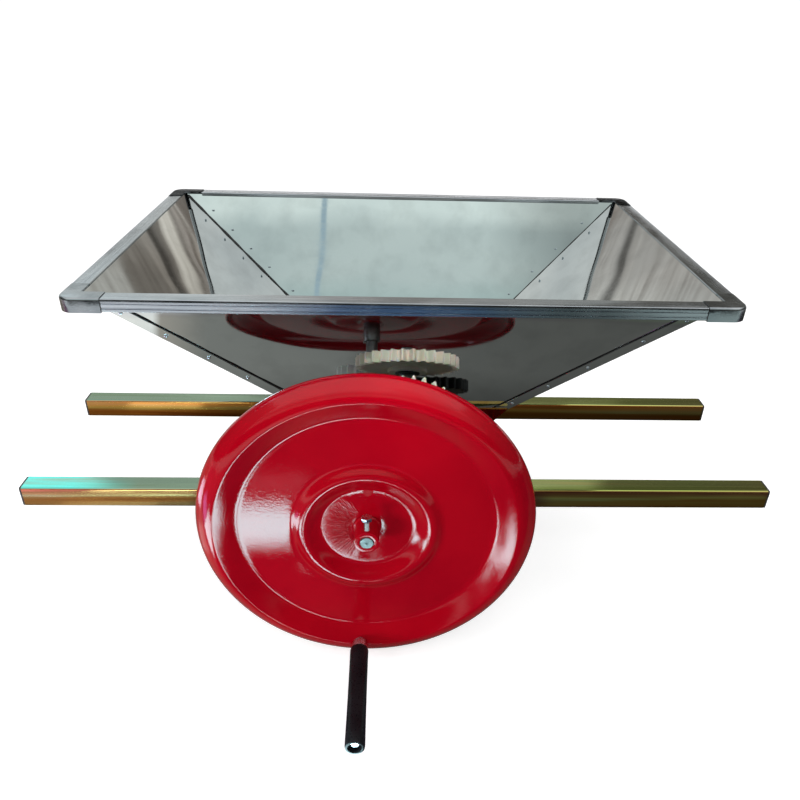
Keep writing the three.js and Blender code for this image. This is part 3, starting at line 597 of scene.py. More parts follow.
# %% [markdown]
# The hopper's four sheets come from their nodes. Their cut edges get a hair of rounding, so that they
# catch a thin line of light. Smooth shading may not reach over their gentle folds, or the wide flat
# faces would seem to bulge.

# %% Hopper sheets
FOLD_LIMIT = 12.0
for side in ("front", "rear", "left", "right"):
    softened(f"{side}_panel", "frame", stainless_sheet, 0.3, 1, FOLD_LIMIT)

# %% [markdown]
# The side sheets are folded over the front and rear ones and riveted there. A rivet is a flat dome, so
# each one is a squashed sphere. They were set by hand, so each seam has its own list of distances below
# the mouth, with a dome outside and one inside. Their places follow the slopes of the sheets.

# %% Rivets
RIVET_RADIUS = 2.7
RIVET_DOME = 0.42
RIVET_OUTSIDE = 2.2
RIVET_INSIDE = -1.8
RIVET_DROPS = {
    ("front", "left"): (23, 60, 98, 136, 173, 208),
    ("front", "right"): (23, 59, 109, 148, 186, 215),
    ("rear", "left"): (25, 54, 82, 110, 146, 183, 215),
    ("rear", "right"): (33, 74, 110, 146, 183, 215),
}
RIVET_FROM_EDGE = {"front": 13.0, "rear": 19.5}
MOUTH_Z = 374.2
MOUTH_HALF_X = 378.0
MOUTH_HALF_Y = 252.4
SIDE_SLOPE = 1.14
FRONT_SLOPE = 0.52


def rivet(bm, x, y, z, tilt):
    turned = Matrix.Rotation(tilt, 4, "X")
    squash = Matrix.Diagonal((1, 1, RIVET_DOME, 1))
    spot = Matrix.Translation(Vector((x, y, z)) * MM) @ turned @ squash
    bmesh.ops.create_uvsphere(bm, u_segments=16, v_segments=8, radius=RIVET_RADIUS * MM, matrix=spot)


def rivet_row(end_name, side_name, end, side):
    bm = bmesh.new()
    lean = math.atan(FRONT_SLOPE)
    for drop in RIVET_DROPS[end_name, side_name]:
        x = MOUTH_HALF_X - SIDE_SLOPE * drop - RIVET_FROM_EDGE[end_name]
        y = MOUTH_HALF_Y - FRONT_SLOPE * drop
        for depth in (RIVET_OUTSIDE, RIVET_INSIDE):
            rivet(bm, side * x, end * (y + depth), MOUTH_Z - drop, end * (math.pi / 2 + lean))
    return bm


for side, side_name in ((-1, "left"), (1, "right")):
    for end, end_name in ((-1, "front"), (1, "rear")):
        row = rivet_row(end_name, side_name, end, side)
        finish_piece(row, f"rivets_{end_name}_{side_name}", "frame", bright_zinc)

# %% [markdown]
# A thin black bead in each seam is painted shade: it stands for the dark gap where the sheets meet, in
# the rear corners inside and along the front flanges outside. A bead is a thin rod along its seam: a cone
# primitive with equal ends, cut into short lengths, and each ring of it swells or shrinks a little.

# %% Sealant beads
SHADE_BEAD_STEPS = 60


def bead_mesh(start, finish, thickness):
    start, finish = Vector(start) * MM, Vector(finish) * MM
    direction = finish - start
    turned = direction.to_track_quat("Z", "Y").to_matrix().to_4x4()
    spot = Matrix.Translation((start + finish) / 2) @ turned
    radius = thickness / 2 * MM
    bm = bmesh.new()
    size = {"radius1": radius, "radius2": radius, "depth": direction.length}
    bmesh.ops.create_cone(bm, cap_ends=True, segments=8, matrix=spot, **size)
    long_edges = [e for e in bm.edges if e.calc_length() > direction.length / 2]
    bmesh.ops.subdivide_edges(bm, edges=long_edges, cuts=SHADE_BEAD_STEPS)
    for vert in bm.verts:
        along = (vert.co - start).dot(direction) / direction.length_squared
        middle = start + direction * along
        swell = 1.0 + 0.22 * math.sin(along * 31.0) + 0.16 * math.sin(along * 83.0 + 1.0)
        vert.co = middle + (vert.co - middle) * swell
    return bm


def on_seam(drop, in_x, in_y):
    """A point inside the hopper's outer faces by in_x and in_y, and below its mouth by drop."""
    x = MOUTH_HALF_X - SIDE_SLOPE * drop - in_x
    y = MOUTH_HALF_Y - FRONT_SLOPE * drop - in_y
    return x, y, MOUTH_Z - drop


# Each bead is painted shade in the gap of its seam.
for name, side, end, ends, inset, thickness in (
    ("rear_left", -1, 1, (2, 243), (3.0, 2.2), 3.2),
    ("rear_right", 1, 1, (2, 243), (2.8, 2.0), 1.3),
    ("front_left", -1, -1, (18, 228), (23.2, -1.2), 1.8),
    ("front_right", 1, -1, (18, 228), (23.2, -0.9), 0.8),
):
    points = [on_seam(drop, *inset) for drop in ends]
    bead = bead_mesh(*[(side * x, end * y, z) for x, y, z in points], thickness)
    finish_piece(bead, f"seam_shade_{name}", "frame", black_plastic)

# %% [markdown]
# The trim strip is a folded channel with two grooves along its face. Its section is drawn once, as
# distances out from the rim's outer face and up from its top, and pulled along the strip. The rear one
# has a folded lip on its inner edge, which closes the joint to the sheet.

# %% Rim strips
STRIP_SECTION = (
    (-22.0, -1.4),
    (-22.0, -0.8),
    (-21.2, 0.0),
    (-1.6, 0.0),
    (-0.4, -0.5),
    (0.0, -1.6),
    (0.0, -4.2),
    (-1.0, -4.8),
    (-1.0, -5.8),
    (0.0, -6.4),
    (0.0, -10.2),
    (-1.0, -10.8),
    (-1.0, -11.8),
    (0.0, -12.4),
    (0.0, -14.8),
    (-0.5, -15.6),
    (-1.6, -16.0),
    (-5.0, -16.0),
    (-5.0, -14.7),
    (-2.2, -14.7),
    (-2.2, -1.4),
)
REAR_SECTION = (*STRIP_SECTION, (-20.8, -1.4), (-20.8, -5.0), (-22.0, -5.0))


def strip_mesh(low, high, outward, runs_along, section=STRIP_SECTION):
    """A strip in the box from low to high. outward is the sign of its outer face."""
    bm = bmesh.new()
    corner = high if outward > 0 else low
    points = []
    for out, up in section:
        if runs_along == "X":
            spot = Vector((low.x, corner.y + outward * out, high.z + up))
        else:
            spot = Vector((corner.x + outward * out, low.y, high.z + up))
        points.append(bm.verts.new(spot * MM))
    section = bm.faces.new(points)
    pulled = bmesh.ops.extrude_face_region(bm, geom=[section])["geom"]
    length = Vector((high.x - low.x, 0, 0)) if runs_along == "X" else Vector((0, high.y - low.y, 0))
    moved = [v for v in pulled if isinstance(v, bmesh.types.BMVert)]
    bmesh.ops.translate(bm, vec=length * MM, verts=moved)
    bmesh.ops.recalc_face_normals(bm, faces=bm.faces)
    return bm


for name, outward, runs_along in (
    ("front", -1, "X"),
    ("rear", 1, "X"),
    ("left", -1, "Y"),
    ("right", 1, "Y"),
):
    node = f"{name}_rim_strip"
    low, high = box_mm(node)
    section = REAR_SECTION if name == "rear" else STRIP_SECTION
    strip = strip_mesh(low, high, outward, runs_along, section)
    finish = trim_along_x if runs_along == "X" else trim_along_y
    finish_piece(strip, node + "_grooved", "frame", finish, [node], 25.0)

# %% [markdown]
# The corner caps are pressed over the ends of the strips, and their outer edges are well rounded. Only
# edges on the outer skin are bevelled, because the thin wall inside has no room for it.

# %% Corner caps
CAP_ROUND = 3.2
CAP_LEG = 49.8
CAP_SKIN = 19.0


def cap_mesh(node):
    low, high = box_mm(node)
    bm = copy_of(node)
    out_x = high.x if high.x > 0 else low.x
    out_y = high.y if high.y > 0 else low.y

    def outer_skin(edge):
        middle = (edge.verts[0].co + edge.verts[1].co) / 2 / MM
        level = min(abs(middle.z - high.z), abs(middle.z - low.z)) < 0.05
        from_x, from_y = abs(out_x) - abs(middle.x), abs(out_y) - abs(middle.y)
        out = min(from_x, from_y) < CAP_SKIN
        flat = abs(edge.verts[0].co.z - edge.verts[1].co.z) < 0.01 * MM
        at_leg_end = min(abs(CAP_LEG - from_x), abs(CAP_LEG - from_y)) < 0.05
        return level and out and flat and not at_leg_end and middle.z > (low.z + high.z) / 2

    return round_edges(bm, CAP_ROUND, 4, 60.0, outer_skin)


for end in ("front", "rear"):
    for side in ("left", "right"):
        node = f"{end}_{side}_corner"
        cap = cap_mesh(node)
        finish = front_cap_steel if end == "front" else shaded_rear_cap_steel
        finish_piece(cap, node + "_cap", "frame", finish, [node], 40.0)

# %% [markdown]
# A thin black line fills the joint between each cap and its strips: painted shade in the gap, where
# the strip runs into the cap. The strip's section is drawn again, a hair smaller, and pulled over the
# width of the joint.

# %% Joints beside the caps
JOINT_WIDTH = 0.8
JOINT_UNDER = 0.35
JOINT_GAP = 0.05


def joint_mesh(low, high, outward, runs_along, end_sign):
    """A short length of the strip's section beside one of its ends, slightly inside the strip's skin."""
    axis = 0 if runs_along == "X" else 1
    low, high = low.copy(), high.copy()
    if end_sign > 0:
        low[axis], high[axis] = high[axis] + JOINT_GAP, high[axis] + JOINT_WIDTH
    else:
        low[axis], high[axis] = low[axis] - JOINT_WIDTH, low[axis] - JOINT_GAP
    high.z -= JOINT_UNDER
    other = 1 - axis
    high[other] -= JOINT_UNDER
    low[other] += JOINT_UNDER
    return strip_mesh(low, high, outward, runs_along)


# Each black joint is painted shade in the gap beside a cap.
for end, end_sign in (("front", -1), ("rear", 1)):
    for side, side_sign in (("left", -1), ("right", 1)):
        strip_low, strip_high = box_mm(f"{end}_rim_strip")
        bm = joint_mesh(strip_low, strip_high, end_sign, "X", side_sign)
        finish_piece(bm, f"joint_{end}_{side}_x", "frame", black_plastic)
        strip_low, strip_high = box_mm(f"{side}_rim_strip")
        bm = joint_mesh(strip_low, strip_high, side_sign, "Y", end_sign)
        finish_piece(bm, f"joint_{end}_{side}_y", "frame", black_plastic)

# %% [markdown]
# The carrying bars are square tube, and drawn tube has round corners. A box without its end faces gets
# its four long edges bevelled, and Solidify gives it the tube's wall. The end plugs keep their shape.

# %% Carrying bars
BAR_WALL = 2.0
BAR_CORNER = 3.0
PLUG_FLANGE = 3.0
PLUG_EDGE = 0.5


def bar_mesh(node):
    low, high = box_mm(node)
    middle, size = (low + high) / 2 * MM, (high - low) * MM
    bm = bmesh.new()
    spot = Matrix.Translation(middle) @ Matrix.Diagonal((*size, 1))
    bmesh.ops.create_cube(bm, size=1.0, matrix=spot)
    ends = [f for f in bm.faces if abs(f.normal.x) > 0.9]
    bmesh.ops.delete(bm, geom=ends, context="FACES_ONLY")
    long_edges = [e for e in bm.edges if e.calc_length() > size.x / 2]
    bevel_edges(bm, long_edges, BAR_CORNER, 5)
    return bm


def plug_mesh(node):
    """Only the flange's four short edges are rounded like the tube, and then its outer face."""
    bm = copy_of(node)
    outer = max(abs(v.co.x) for v in bm.verts)
    flange = [e for e in bm.edges if min(abs(v.co.x) for v in e.verts) > outer - PLUG_FLANGE * MM]
    short = [e for e in flange if abs(e.verts[0].co.x - e.verts[1].co.x) > 1.0 * MM]
    bevel_edges(bm, short, BAR_CORNER, 4)
    rim = [e for e in bm.edges if min(abs(v.co.x) for v in e.verts) > outer - 0.01 * MM]
    bevel_edges(bm, rim, PLUG_EDGE, 2)
    return bm


for end in ("front", "rear"):
    node = f"{end}_bar"
    bar = finish_piece(bar_mesh(node), node + "_tube", "frame", bar_zinc, [node])
    wall = bar.modifiers.new("wall", "SOLIDIFY")
    wall.thickness = BAR_WALL * MM
    wall.offset = -1.0
    keep_flat(bar)
    for side in ("left", "right"):
        plug = f"{end}_bar_{side}_plug"
        finish_piece(plug_mesh(plug), plug + "_moulded", "frame", black_plastic, [plug])

# %% [markdown]
# The bearing plates are flat zinc plated steel. The agitator turns in two nylon blocks, and each
# roller shaft in a flanged bush at both ends. A bush is turned: a body through the plate, a flange
# outside and a boss. Its bore is as wide as the shaft needs.

# %% Plates, blocks and bushes
BUSH_BORE = 9.25
BUSH_BODY = 14.0
BUSH_FLANGE = 24.0
BUSH_BOSS = 18.0
FLANGE_THICKNESS = 5.0
BOSS_LENGTH = 6.0

for end in ("front", "rear"):
    softened(f"{end}_bearing_plate", "frame", plate_zinc, 0.5)
    softened(f"agitator_{end}_block", "frame", white_nylon, 1.6, 3)


def bush_profile(thrust, end):
    outward = math.copysign(1.0, end)
    flange_end = end - outward * BOSS_LENGTH
    flange_start = flange_end - outward * FLANGE_THICKNESS
    return [
        (BUSH_BORE, thrust),
        (BUSH_BODY, thrust),
        (BUSH_BODY, flange_start),
        (BUSH_FLANGE, flange_start),
        (BUSH_FLANGE, flange_end),
        (BUSH_BOSS, flange_end),
        (BUSH_BOSS, end),
        (BUSH_BORE, end),
    ]


for owner, axis in (("crank", CRANK_AXIS), ("driven", DRIVEN_AXIS)):
    for end in ("front", "rear"):
        node = f"{owner}_shaft_{end}_bush"
        low, high = box_mm(node)
        thrust, outer_end = (high.y, low.y) if end == "front" else (low.y, high.y)
        profile = rounded(bush_profile(thrust, outer_end), 0.8)
        bush = turned_mesh(profile, on_axis(axis))
        finish_piece(bush, node + "_turned", "frame", black_plastic, [node])

# %% [markdown]
# Bolts and nuts are hexagons with their corners turned off. A six-sided prism gets a bevel on its end
# faces' edges. The bolts' shanks show a little past the nuts.

# %% Bolts and nuts
HEX_RADIUS = 7.5
HEX_EDGE = 0.6
HEAD_HEIGHT = 5.3
SHANK_RADIUS = 4.0
NUT_BORE = 4.3
NUT_FACE = 6.2


def hexagon(bm, centre, start, end, along="Y", radius=HEX_RADIUS):
    turn = Matrix.Rotation(math.pi / 2, 4, "X") if along == "Y" else Matrix.Identity(4)
    direction = DIRECTIONS[along]
    spot = Matrix.Translation((Vector(centre) + direction * (start + end) / 2) * MM) @ turn
    size = {"radius1": radius * MM, "radius2": radius * MM, "depth": abs(end - start) * MM}
    made = bmesh.ops.create_cone(bm, cap_ends=True, segments=6, matrix=spot, **size)
    edges = {e for v in made["verts"] for e in v.link_edges}
    flat = [e for e in edges if abs((e.verts[0].co - e.verts[1].co).dot(direction)) < 0.1 * MM]
    bevel_edges(bm, flat, HEX_EDGE, 2)


def thread_profile(start, end, radius=SHANK_RADIUS, pitch=1.25, depth=0.55):
    turns = max(1, int(abs(end - start) / pitch))
    step = (end - start) / turns
    profile = [(0.0, start)]
    for i in range(turns):
        profile += [(radius - depth, start + step * i), (radius, start + step * (i + 0.5))]
    profile += [(radius - depth, end), (0.0, end)]
    return profile


for end, outward in (("front", -1), ("rear", 1)):
    for side in ("left", "right"):
        bolt, nut = f"{end}_{side}_frame_bolt", f"{end}_{side}_frame_nut"
        low, high = box_mm(bolt)
        centre = on_axis(axis_of(bolt))
        tip, head_end = (low.y, high.y) if outward > 0 else (high.y, low.y)
        bm = turned_mesh(thread_profile(tip, head_end - outward * 2), centre, steps=24)
        hexagon(bm, centre, head_end - outward * HEAD_HEIGHT, head_end)
        finish_piece(bm, bolt + "_threaded", "frame", bright_zinc, [bolt])
        low, high = box_mm(nut)
        bm = turned_mesh(sleeve_profile(NUT_BORE, NUT_FACE, low.y, high.y), centre, steps=24)
        hexagon(bm, centre, low.y + 0.05, high.y - 0.05)
        finish_piece(bm, nut + "_finished", "frame", bright_zinc, [nut])

# %% [markdown]
# Both rollers are cast and turned aluminium with straight ridges, and the paddles of the agitator are
# cut from stainless strip. They keep their nodes' shapes, with the ridges and edges rounded.

# %% Rollers and paddles
softened("crank_roller", "crank", cast_aluminium, 1.2)
softened("driven_roller", "driven", cast_aluminium, 1.2)
for number in range(1, 5):
    softened(f"agitator_paddle_{number}", "agitator", bright_zinc, 0.8)

# %% [markdown]
# Three nylon gears carry the drive. Their teeth are already involutes in the frame, so a small rounding
# of the edges is enough to make them look moulded.

# %% Gears
softened("drive_gear", "crank", white_nylon, 0.5)
softened("agitator_gear", "agitator", beige_nylon, 0.5)
softened("driven_gear", "driven", black_nylon, 0.5)

# %% [markdown]
# Shafts are ground bar with a chamfer and a centre drilling in each end. Sleeves, collars, the washer
# and the ring are short tubes. All of them are turned from a profile whose length and radius come from
# the node's box.

# %% Shafts and sleeves
SHAFT_BORE = 9.3
CENTRE_DRILLING = 1.6


def shaft_profile(radius, start, end):
    drill = CENTRE_DRILLING
    return [
        (0.0, start + drill),
        (drill, start),
        (radius - 1.0, start),
        (radius, start + 1.0),
        (radius, end - 1.0),
        (radius - 1.0, end),
        (drill, end),
        (0.0, end - drill),
    ]


def turned_from_box(node, body, material, bore=None):
    low, high = box_mm(node)
    radius = (high.x - low.x) / 2
    if bore:
        profile = rounded(sleeve_profile(bore, radius, low.y, high.y), 0.6)
    else:
        profile = shaft_profile(radius, low.y, high.y)
    bm = turned_mesh(profile, on_axis(axis_of(node)))
    return finish_piece(bm, node + "_turned", body, material, [node])


for owner in ("crank", "driven", "agitator"):
    turned_from_box(f"{owner}_shaft", owner, ground_steel)
    turned_from_box(f"{owner}_spacer", owner, ground_steel, SHAFT_BORE)
turned_from_box("driven_gear_ring", "driven", bright_zinc, SHAFT_BORE)
turned_from_box("agitator_rear_collar", "agitator", bright_zinc, SHAFT_BORE)
turned_from_box("agitator_gear_washer", "agitator", black_nylon, SHAFT_BORE)
softened("agitator_gear_nut", "agitator", bright_zinc, 0.8)

# %% [markdown]
# The flywheel is a pressed dish with a rolled rim, a ring round the middle and a recess for the hub.
# Its front is a list of radii and heights in front of the widest plane, and the back is the same line
# one sheet's thickness behind. The spin is coarse, and a Subdivision Surface rounds the pressing both
# ways, just as a press rounds sheet.

# %% Flywheel
WHEEL_Y = -294.0
WHEEL_SHEET = 3.0
DISH = (
    (16.8, 0.0),
    (30.0, 0.0),
    (60.0, 0.2),
    (64.5, 1.6),
    (72.0, 5.5),
    (79.0, 10.6),
    (84.5, 12.6),
    (90.0, 12.2),
    (95.0, 9.0),
    (100.0, 5.8),
    (105.0, 4.9),
    (112.0, 4.9),
    (160.0, 4.9),
    (166.8, 4.9),
    (168.8, 5.4),
    (170.4, 5.3),
    (174.0, 6.8),
    (182.0, 11.6),
    (191.0, 16.8),
    (197.4, 20.3),
    (198.4, 20.8),
    (199.3, 21.0),
    (200.6, 21.0),
    (206.0, 20.0),
    (214.0, 15.6),
    (221.0, 8.6),
    (225.0, 1.0),
    (225.6, -4.0),
    (225.0, -8.2),
)


def dish_profile():
    front = [Vector(point) for point in DISH]
    back = []
    for i, point in enumerate(front):
        before, after = front[max(i - 1, 0)], front[min(i + 1, len(front) - 1)]
        along = (after - before).normalized()
        back.append(point + Vector((along.y, -along.x)) * WHEEL_SHEET)
    back[0].x = front[0].x
    line = front + back[::-1]
    return [(point.x, WHEEL_Y - point.y) for point in line]


wheel = turned_mesh(dish_profile(), on_axis(CRANK_AXIS), steps=96)
flywheel = finish_piece(wheel, "flywheel_dish", "crank", red_paint, ["flywheel"], 180.0)
pressed = flywheel.modifiers.new("pressed", "SUBSURF")
pressed.levels = pressed.render_levels = 2

# %% [markdown]
# The hub is a sleeve welded into the dish and painted with it, so a small bead of weld runs round its
# foot. Behind the dish it is slimmer and was left bare. The set bolt stands up from the sleeve's end,
# and its thread shows between head and hub.

# %% Hub and set bolt
HUB_RADIUS = 16.3
HUB_REAR_RADIUS = 13.0
BEAD = 2.6
low, high = box_mm("flywheel_hub")
behind_dish = WHEEL_Y + WHEEL_SHEET + 0.8
hub_profile = [
    (SHAFT_BORE, low.y),
    (HUB_RADIUS, low.y),
    (HUB_RADIUS, WHEEL_Y - BEAD),
    (HUB_RADIUS + BEAD * 0.5, WHEEL_Y - BEAD * 0.7),
    (HUB_RADIUS + BEAD, WHEEL_Y - 0.1),
    (HUB_RADIUS, behind_dish),
    (SHAFT_BORE, behind_dish),
]
hub = turned_mesh(rounded(hub_profile, 0.9), on_axis(CRANK_AXIS), steps=64)
finish_piece(hub, "flywheel_hub_sleeve", "crank", red_paint, ["flywheel_hub"])
rear_profile = rounded(sleeve_profile(SHAFT_BORE, HUB_REAR_RADIUS, behind_dish, high.y), 0.6)
rear_sleeve = turned_mesh(rear_profile, on_axis(CRANK_AXIS))
finish_piece(rear_sleeve, "flywheel_hub_rear", "crank", ground_steel)

low, high = box_mm("hub_set_bolt")
set_bolt_centre = ((low.x + high.x) / 2, (low.y + high.y) / 2, 0.0)
set_bolt = turned_mesh(thread_profile(low.z, high.z - 2), set_bolt_centre, "Z", 24)
hexagon(set_bolt, set_bolt_centre, high.z - HEAD_HEIGHT, high.z, "Z")
finish_piece(set_bolt, "hub_set_bolt_threaded", "crank", bright_zinc, ["hub_set_bolt"])

# %% [markdown]
# The handle is a spindle with a hexagon behind the dish, a collar in front, and a black grip that turns
# freely. The grip is a little slimmer in the middle and has a recess in its end. All but the hexagon is
# turned, and the recess is part of the grip's profile, so it needs no cutting.

# %% Handle
SPINDLE_RADIUS = 6
SPINDLE_BORE = 6.3
SPINDLE_HEX = 10.0
SPINDLE_HEAD = 7.0
GRIP_RECESS = 9.0
GRIP_WAIST = 0.35
RECESS_DEPTH = 9.3

low, high = box_mm("handle_spindle")
spindle_profile = [
    (0, low.y),
    (SPINDLE_RADIUS, low.y),
    (SPINDLE_RADIUS, high.y),
    (0, high.y),
]
spindle = turned_mesh(rounded(spindle_profile, 0.5), on_axis(HANDLE_AXIS))
hexagon(spindle, on_axis(HANDLE_AXIS), high.y - SPINDLE_HEAD, high.y, radius=SPINDLE_HEX)
finish_piece(spindle, "handle_spindle_turned", "crank", bright_zinc, ["handle_spindle"])
turned_from_box("handle_collar", "crank", bright_zinc, SPINDLE_BORE)


def grip_profile(low, high, radius):
    recess = low + RECESS_DEPTH
    body = []
    for share in (0.02, 0.12, 0.3, 0.5, 0.7, 0.88, 0.98):
        waist = GRIP_WAIST * math.sin(math.pi * share)
        body.append((radius - waist, low + (high - low) * share))
    return [
        (SPINDLE_BORE, recess),
        (GRIP_RECESS, recess),
        (GRIP_RECESS, low + 0.8),
        (GRIP_RECESS + 0.6, low),
        (radius - 2.0, low),
        (radius - 0.7, low + 0.6),
        *body,
        (radius - 0.7, high - 0.6),
        (radius - 2.0, high),
        (SPINDLE_BORE, high),
    ]


low, high = box_mm("handle_grip")
grip = turned_mesh(grip_profile(low.y, high.y, (high.x - low.x) / 2), on_axis(HANDLE_AXIS), steps=64)
finish_piece(grip, "handle_grip_turned", "grip", grip_plastic, ["handle_grip"])

# %% [markdown]
# A cross-head screw sits in the recess. A boolean could cut its cross, but leaves a rough mesh. So the
# head is turned, planes cut its flat face along the cross's edges, and the faces inside are pushed in.

# %% Grip screw
CROSS_WIDTH = 1.5
CROSS_REACH = 3.6
CROSS_DEPTH = 1.8
low, high = box_mm("grip_screw")
head = [
    (0.0, low.y),
    (4.4, low.y),
    (6.2, low.y + 0.7),
    (7.0, low.y + 2.2),
    (7.0, low.y + 4.2),
    (2.5, low.y + 4.2),
    (2.5, high.y),
    (0.0, high.y),
]
screw = turned_mesh(head, on_axis(HANDLE_AXIS))
centre = Vector(on_axis(HANDLE_AXIS)) * MM
for direction in (Vector((1, 0, 0)), Vector((0, 0, 1))):
    for distance in (-CROSS_REACH, -CROSS_WIDTH / 2, CROSS_WIDTH / 2, CROSS_REACH):
        flat = [f for f in screw.faces if abs(f.calc_center_median().y - low.y * MM) < 0.01 * MM]
        corners, edges = {v for f in flat for v in f.verts}, {e for f in flat for e in f.edges}
        cut = centre + direction * distance * MM
        parts = [*corners, *edges, *flat]
        bmesh.ops.bisect_plane(screw, geom=parts, plane_co=cut, plane_no=direction)


def in_cross(face):
    middle = (face.calc_center_median() - centre) / MM
    if abs(middle.y - low.y) > 0.01:
        return False
    across, up = abs(middle.x), abs(middle.z)
    return min(across, up) < CROSS_WIDTH / 2 and max(across, up) < CROSS_REACH


cross = [f for f in screw.faces if in_cross(f)]
sunk = bmesh.ops.extrude_face_region(screw, geom=cross)["geom"]
bmesh.ops.delete(screw, geom=cross, context="FACES_ONLY")
sunk_points = [v for v in sunk if isinstance(v, bmesh.types.BMVert)]
bmesh.ops.translate(screw, vec=Vector((0, CROSS_DEPTH * MM, 0)), verts=sunk_points)
bmesh.ops.recalc_face_normals(screw, faces=screw.faces)
finish_piece(screw, "grip_screw_crosshead", "crank", bright_zinc, ["grip_screw"])

# %% [markdown]
# The stage is a pale floor that curves up into a backdrop. Part of its brightness is its own, seen by
# the camera and in reflections alike, and the rest is light that falls on it, so it keeps the mill's
# shadow.

# %% Floor and backdrop
FLOOR_Z = cad_low.z - 0.002
FLOOR_HALF = 6.0
SWEEP = 1.5
FLOOR_OWN_LIGHT = 0.68


def seen_directly(tree):
    """One for camera, mirror and glass rays, and nought for the light that bounces about."""
    path = add(tree, "ShaderNodeLightPath")
    seen = sums(tree, "MAXIMUM", path.outputs["Is Camera Ray"], path.outputs["Is Glossy Ray"])
    return sums(tree, "MAXIMUM", seen, path.outputs["Is Transmission Ray"])


def make_floor_finish():
    material, tree, shader = new_finish("pale_floor", Roughness=0.9, Specular_IOR_Level=0.0)
    shader.inputs["Base Color"].default_value = (0.62, 0.62, 0.62, 1.0)
    own_light = sums(tree, "MULTIPLY", seen_directly(tree), FLOOR_OWN_LIGHT)
    tree.links.new(own_light, shader.inputs["Emission Strength"])
    shader.inputs["Emission Color"].default_value = (1.0, 1.0, 1.0, 1.0)
    return material


def floor_mesh():
    bm = bmesh.new()
    line = [(-FLOOR_HALF, 0.0), (FLOOR_HALF, 0.0)]
    for i in range(1, 9):
        angle = math.pi / 2 * i / 8
        line.append((FLOOR_HALF + SWEEP * math.sin(angle), SWEEP * (1 - math.cos(angle))))
    line.append((FLOOR_HALF + SWEEP, 5.0))
    points = [bm.verts.new((-FLOOR_HALF * 1.5, y, FLOOR_Z + z)) for y, z in line]
    edges = [bm.edges.new(pair) for pair in zip(points, points[1:])]
    pulled = bmesh.ops.extrude_edge_only(bm, edges=edges)["geom"]
    moved = [v for v in pulled if isinstance(v, bmesh.types.BMVert)]
    bmesh.ops.translate(bm, vec=Vector((FLOOR_HALF * 3, 0, 0)), verts=moved)
    bmesh.ops.recalc_face_normals(bm, faces=bm.faces)
    return bm


def add_stage(name, bm, material):
    mesh = bpy.data.meshes.new(name)
    bm.to_mesh(mesh)
    bm.free()
    mesh.materials.append(material)
    prop = bpy.data.objects.new(name, mesh)
    scene.collection.objects.link(prop)
    return prop


floor = add_stage("floor", floor_mesh(), make_floor_finish())
print("floor at", round(FLOOR_Z, 3))

# %% [markdown]
# Polished steel and gloss paint show their surroundings, and in a bare white room they look like paper.
# So a few large cards stand round the mill, as in a workshop: a brown wall behind, a grey-blue one in
# front, and a dull floor, whose bright glowing patches are painted highlights for the wheel and the bars.
# Each card has one run of colours across it and one along it, multiplied, with clouds that make the
# joins wander. Only mirror rays see them, so they take no light from the mill.

# %% Reflection cards
def card_run(tree, position, wander, axis, blur, stops):
    along = add(tree, "ShaderNodeSeparateXYZ", {"Vector": position}).outputs[axis]
    shifted = sums(tree, "ADD", along, sums(tree, "MULTIPLY", wander, blur))
    low, high = stops[0][0], stops[-1][0]
    share = spread(tree, shifted, 0.0, 1.0, low, high)
    return ramp(tree, share, *[((spot - low) / (high - low), colour) for spot, colour in stops])


BOW_RIGHT = 0.18
BOW_LEFT = -0.10
BOW_DROP = 0.0465


def bowed(tree, position):
    """The same place with its height raised away from the middle, so that level boards seem to curve."""
    split = add(tree, "ShaderNodeSeparateXYZ", {"Vector": position})
    across = split.outputs["X"]
    right = sums(tree, "MULTIPLY", sums(tree, "MAXIMUM", across, 0.0), BOW_RIGHT)
    left = sums(tree, "MULTIPLY", sums(tree, "MINIMUM", across, 0.0), BOW_LEFT)
    raised = sums(tree, "ADD", split.outputs["Z"], sums(tree, "ADD", right, left))
    height = sums(tree, "SUBTRACT", raised, BOW_DROP)
    inputs = {"X": across, "Y": split.outputs["Y"], "Z": height}
    return add(tree, "ShaderNodeCombineXYZ", inputs).outputs[0]


def lit_patch(tree, position, wander, axes, spans, colour):
    """A bright patch with soft edges: one run of light across it times one along it."""
    black, white = (0.0, 0.0, 0.0), (1.0, 1.0, 1.0)
    runs = []
    for axis, (low, high, soft) in zip(axes, spans):
        stops = ((low - soft, black), (low, white), (high, white), (high + soft, black))
        runs.append(card_run(tree, position, wander, axis, soft, stops))
    return blended(tree, 1.0, blended(tree, 1.0, *runs, "MULTIPLY"), colour, "MULTIPLY")


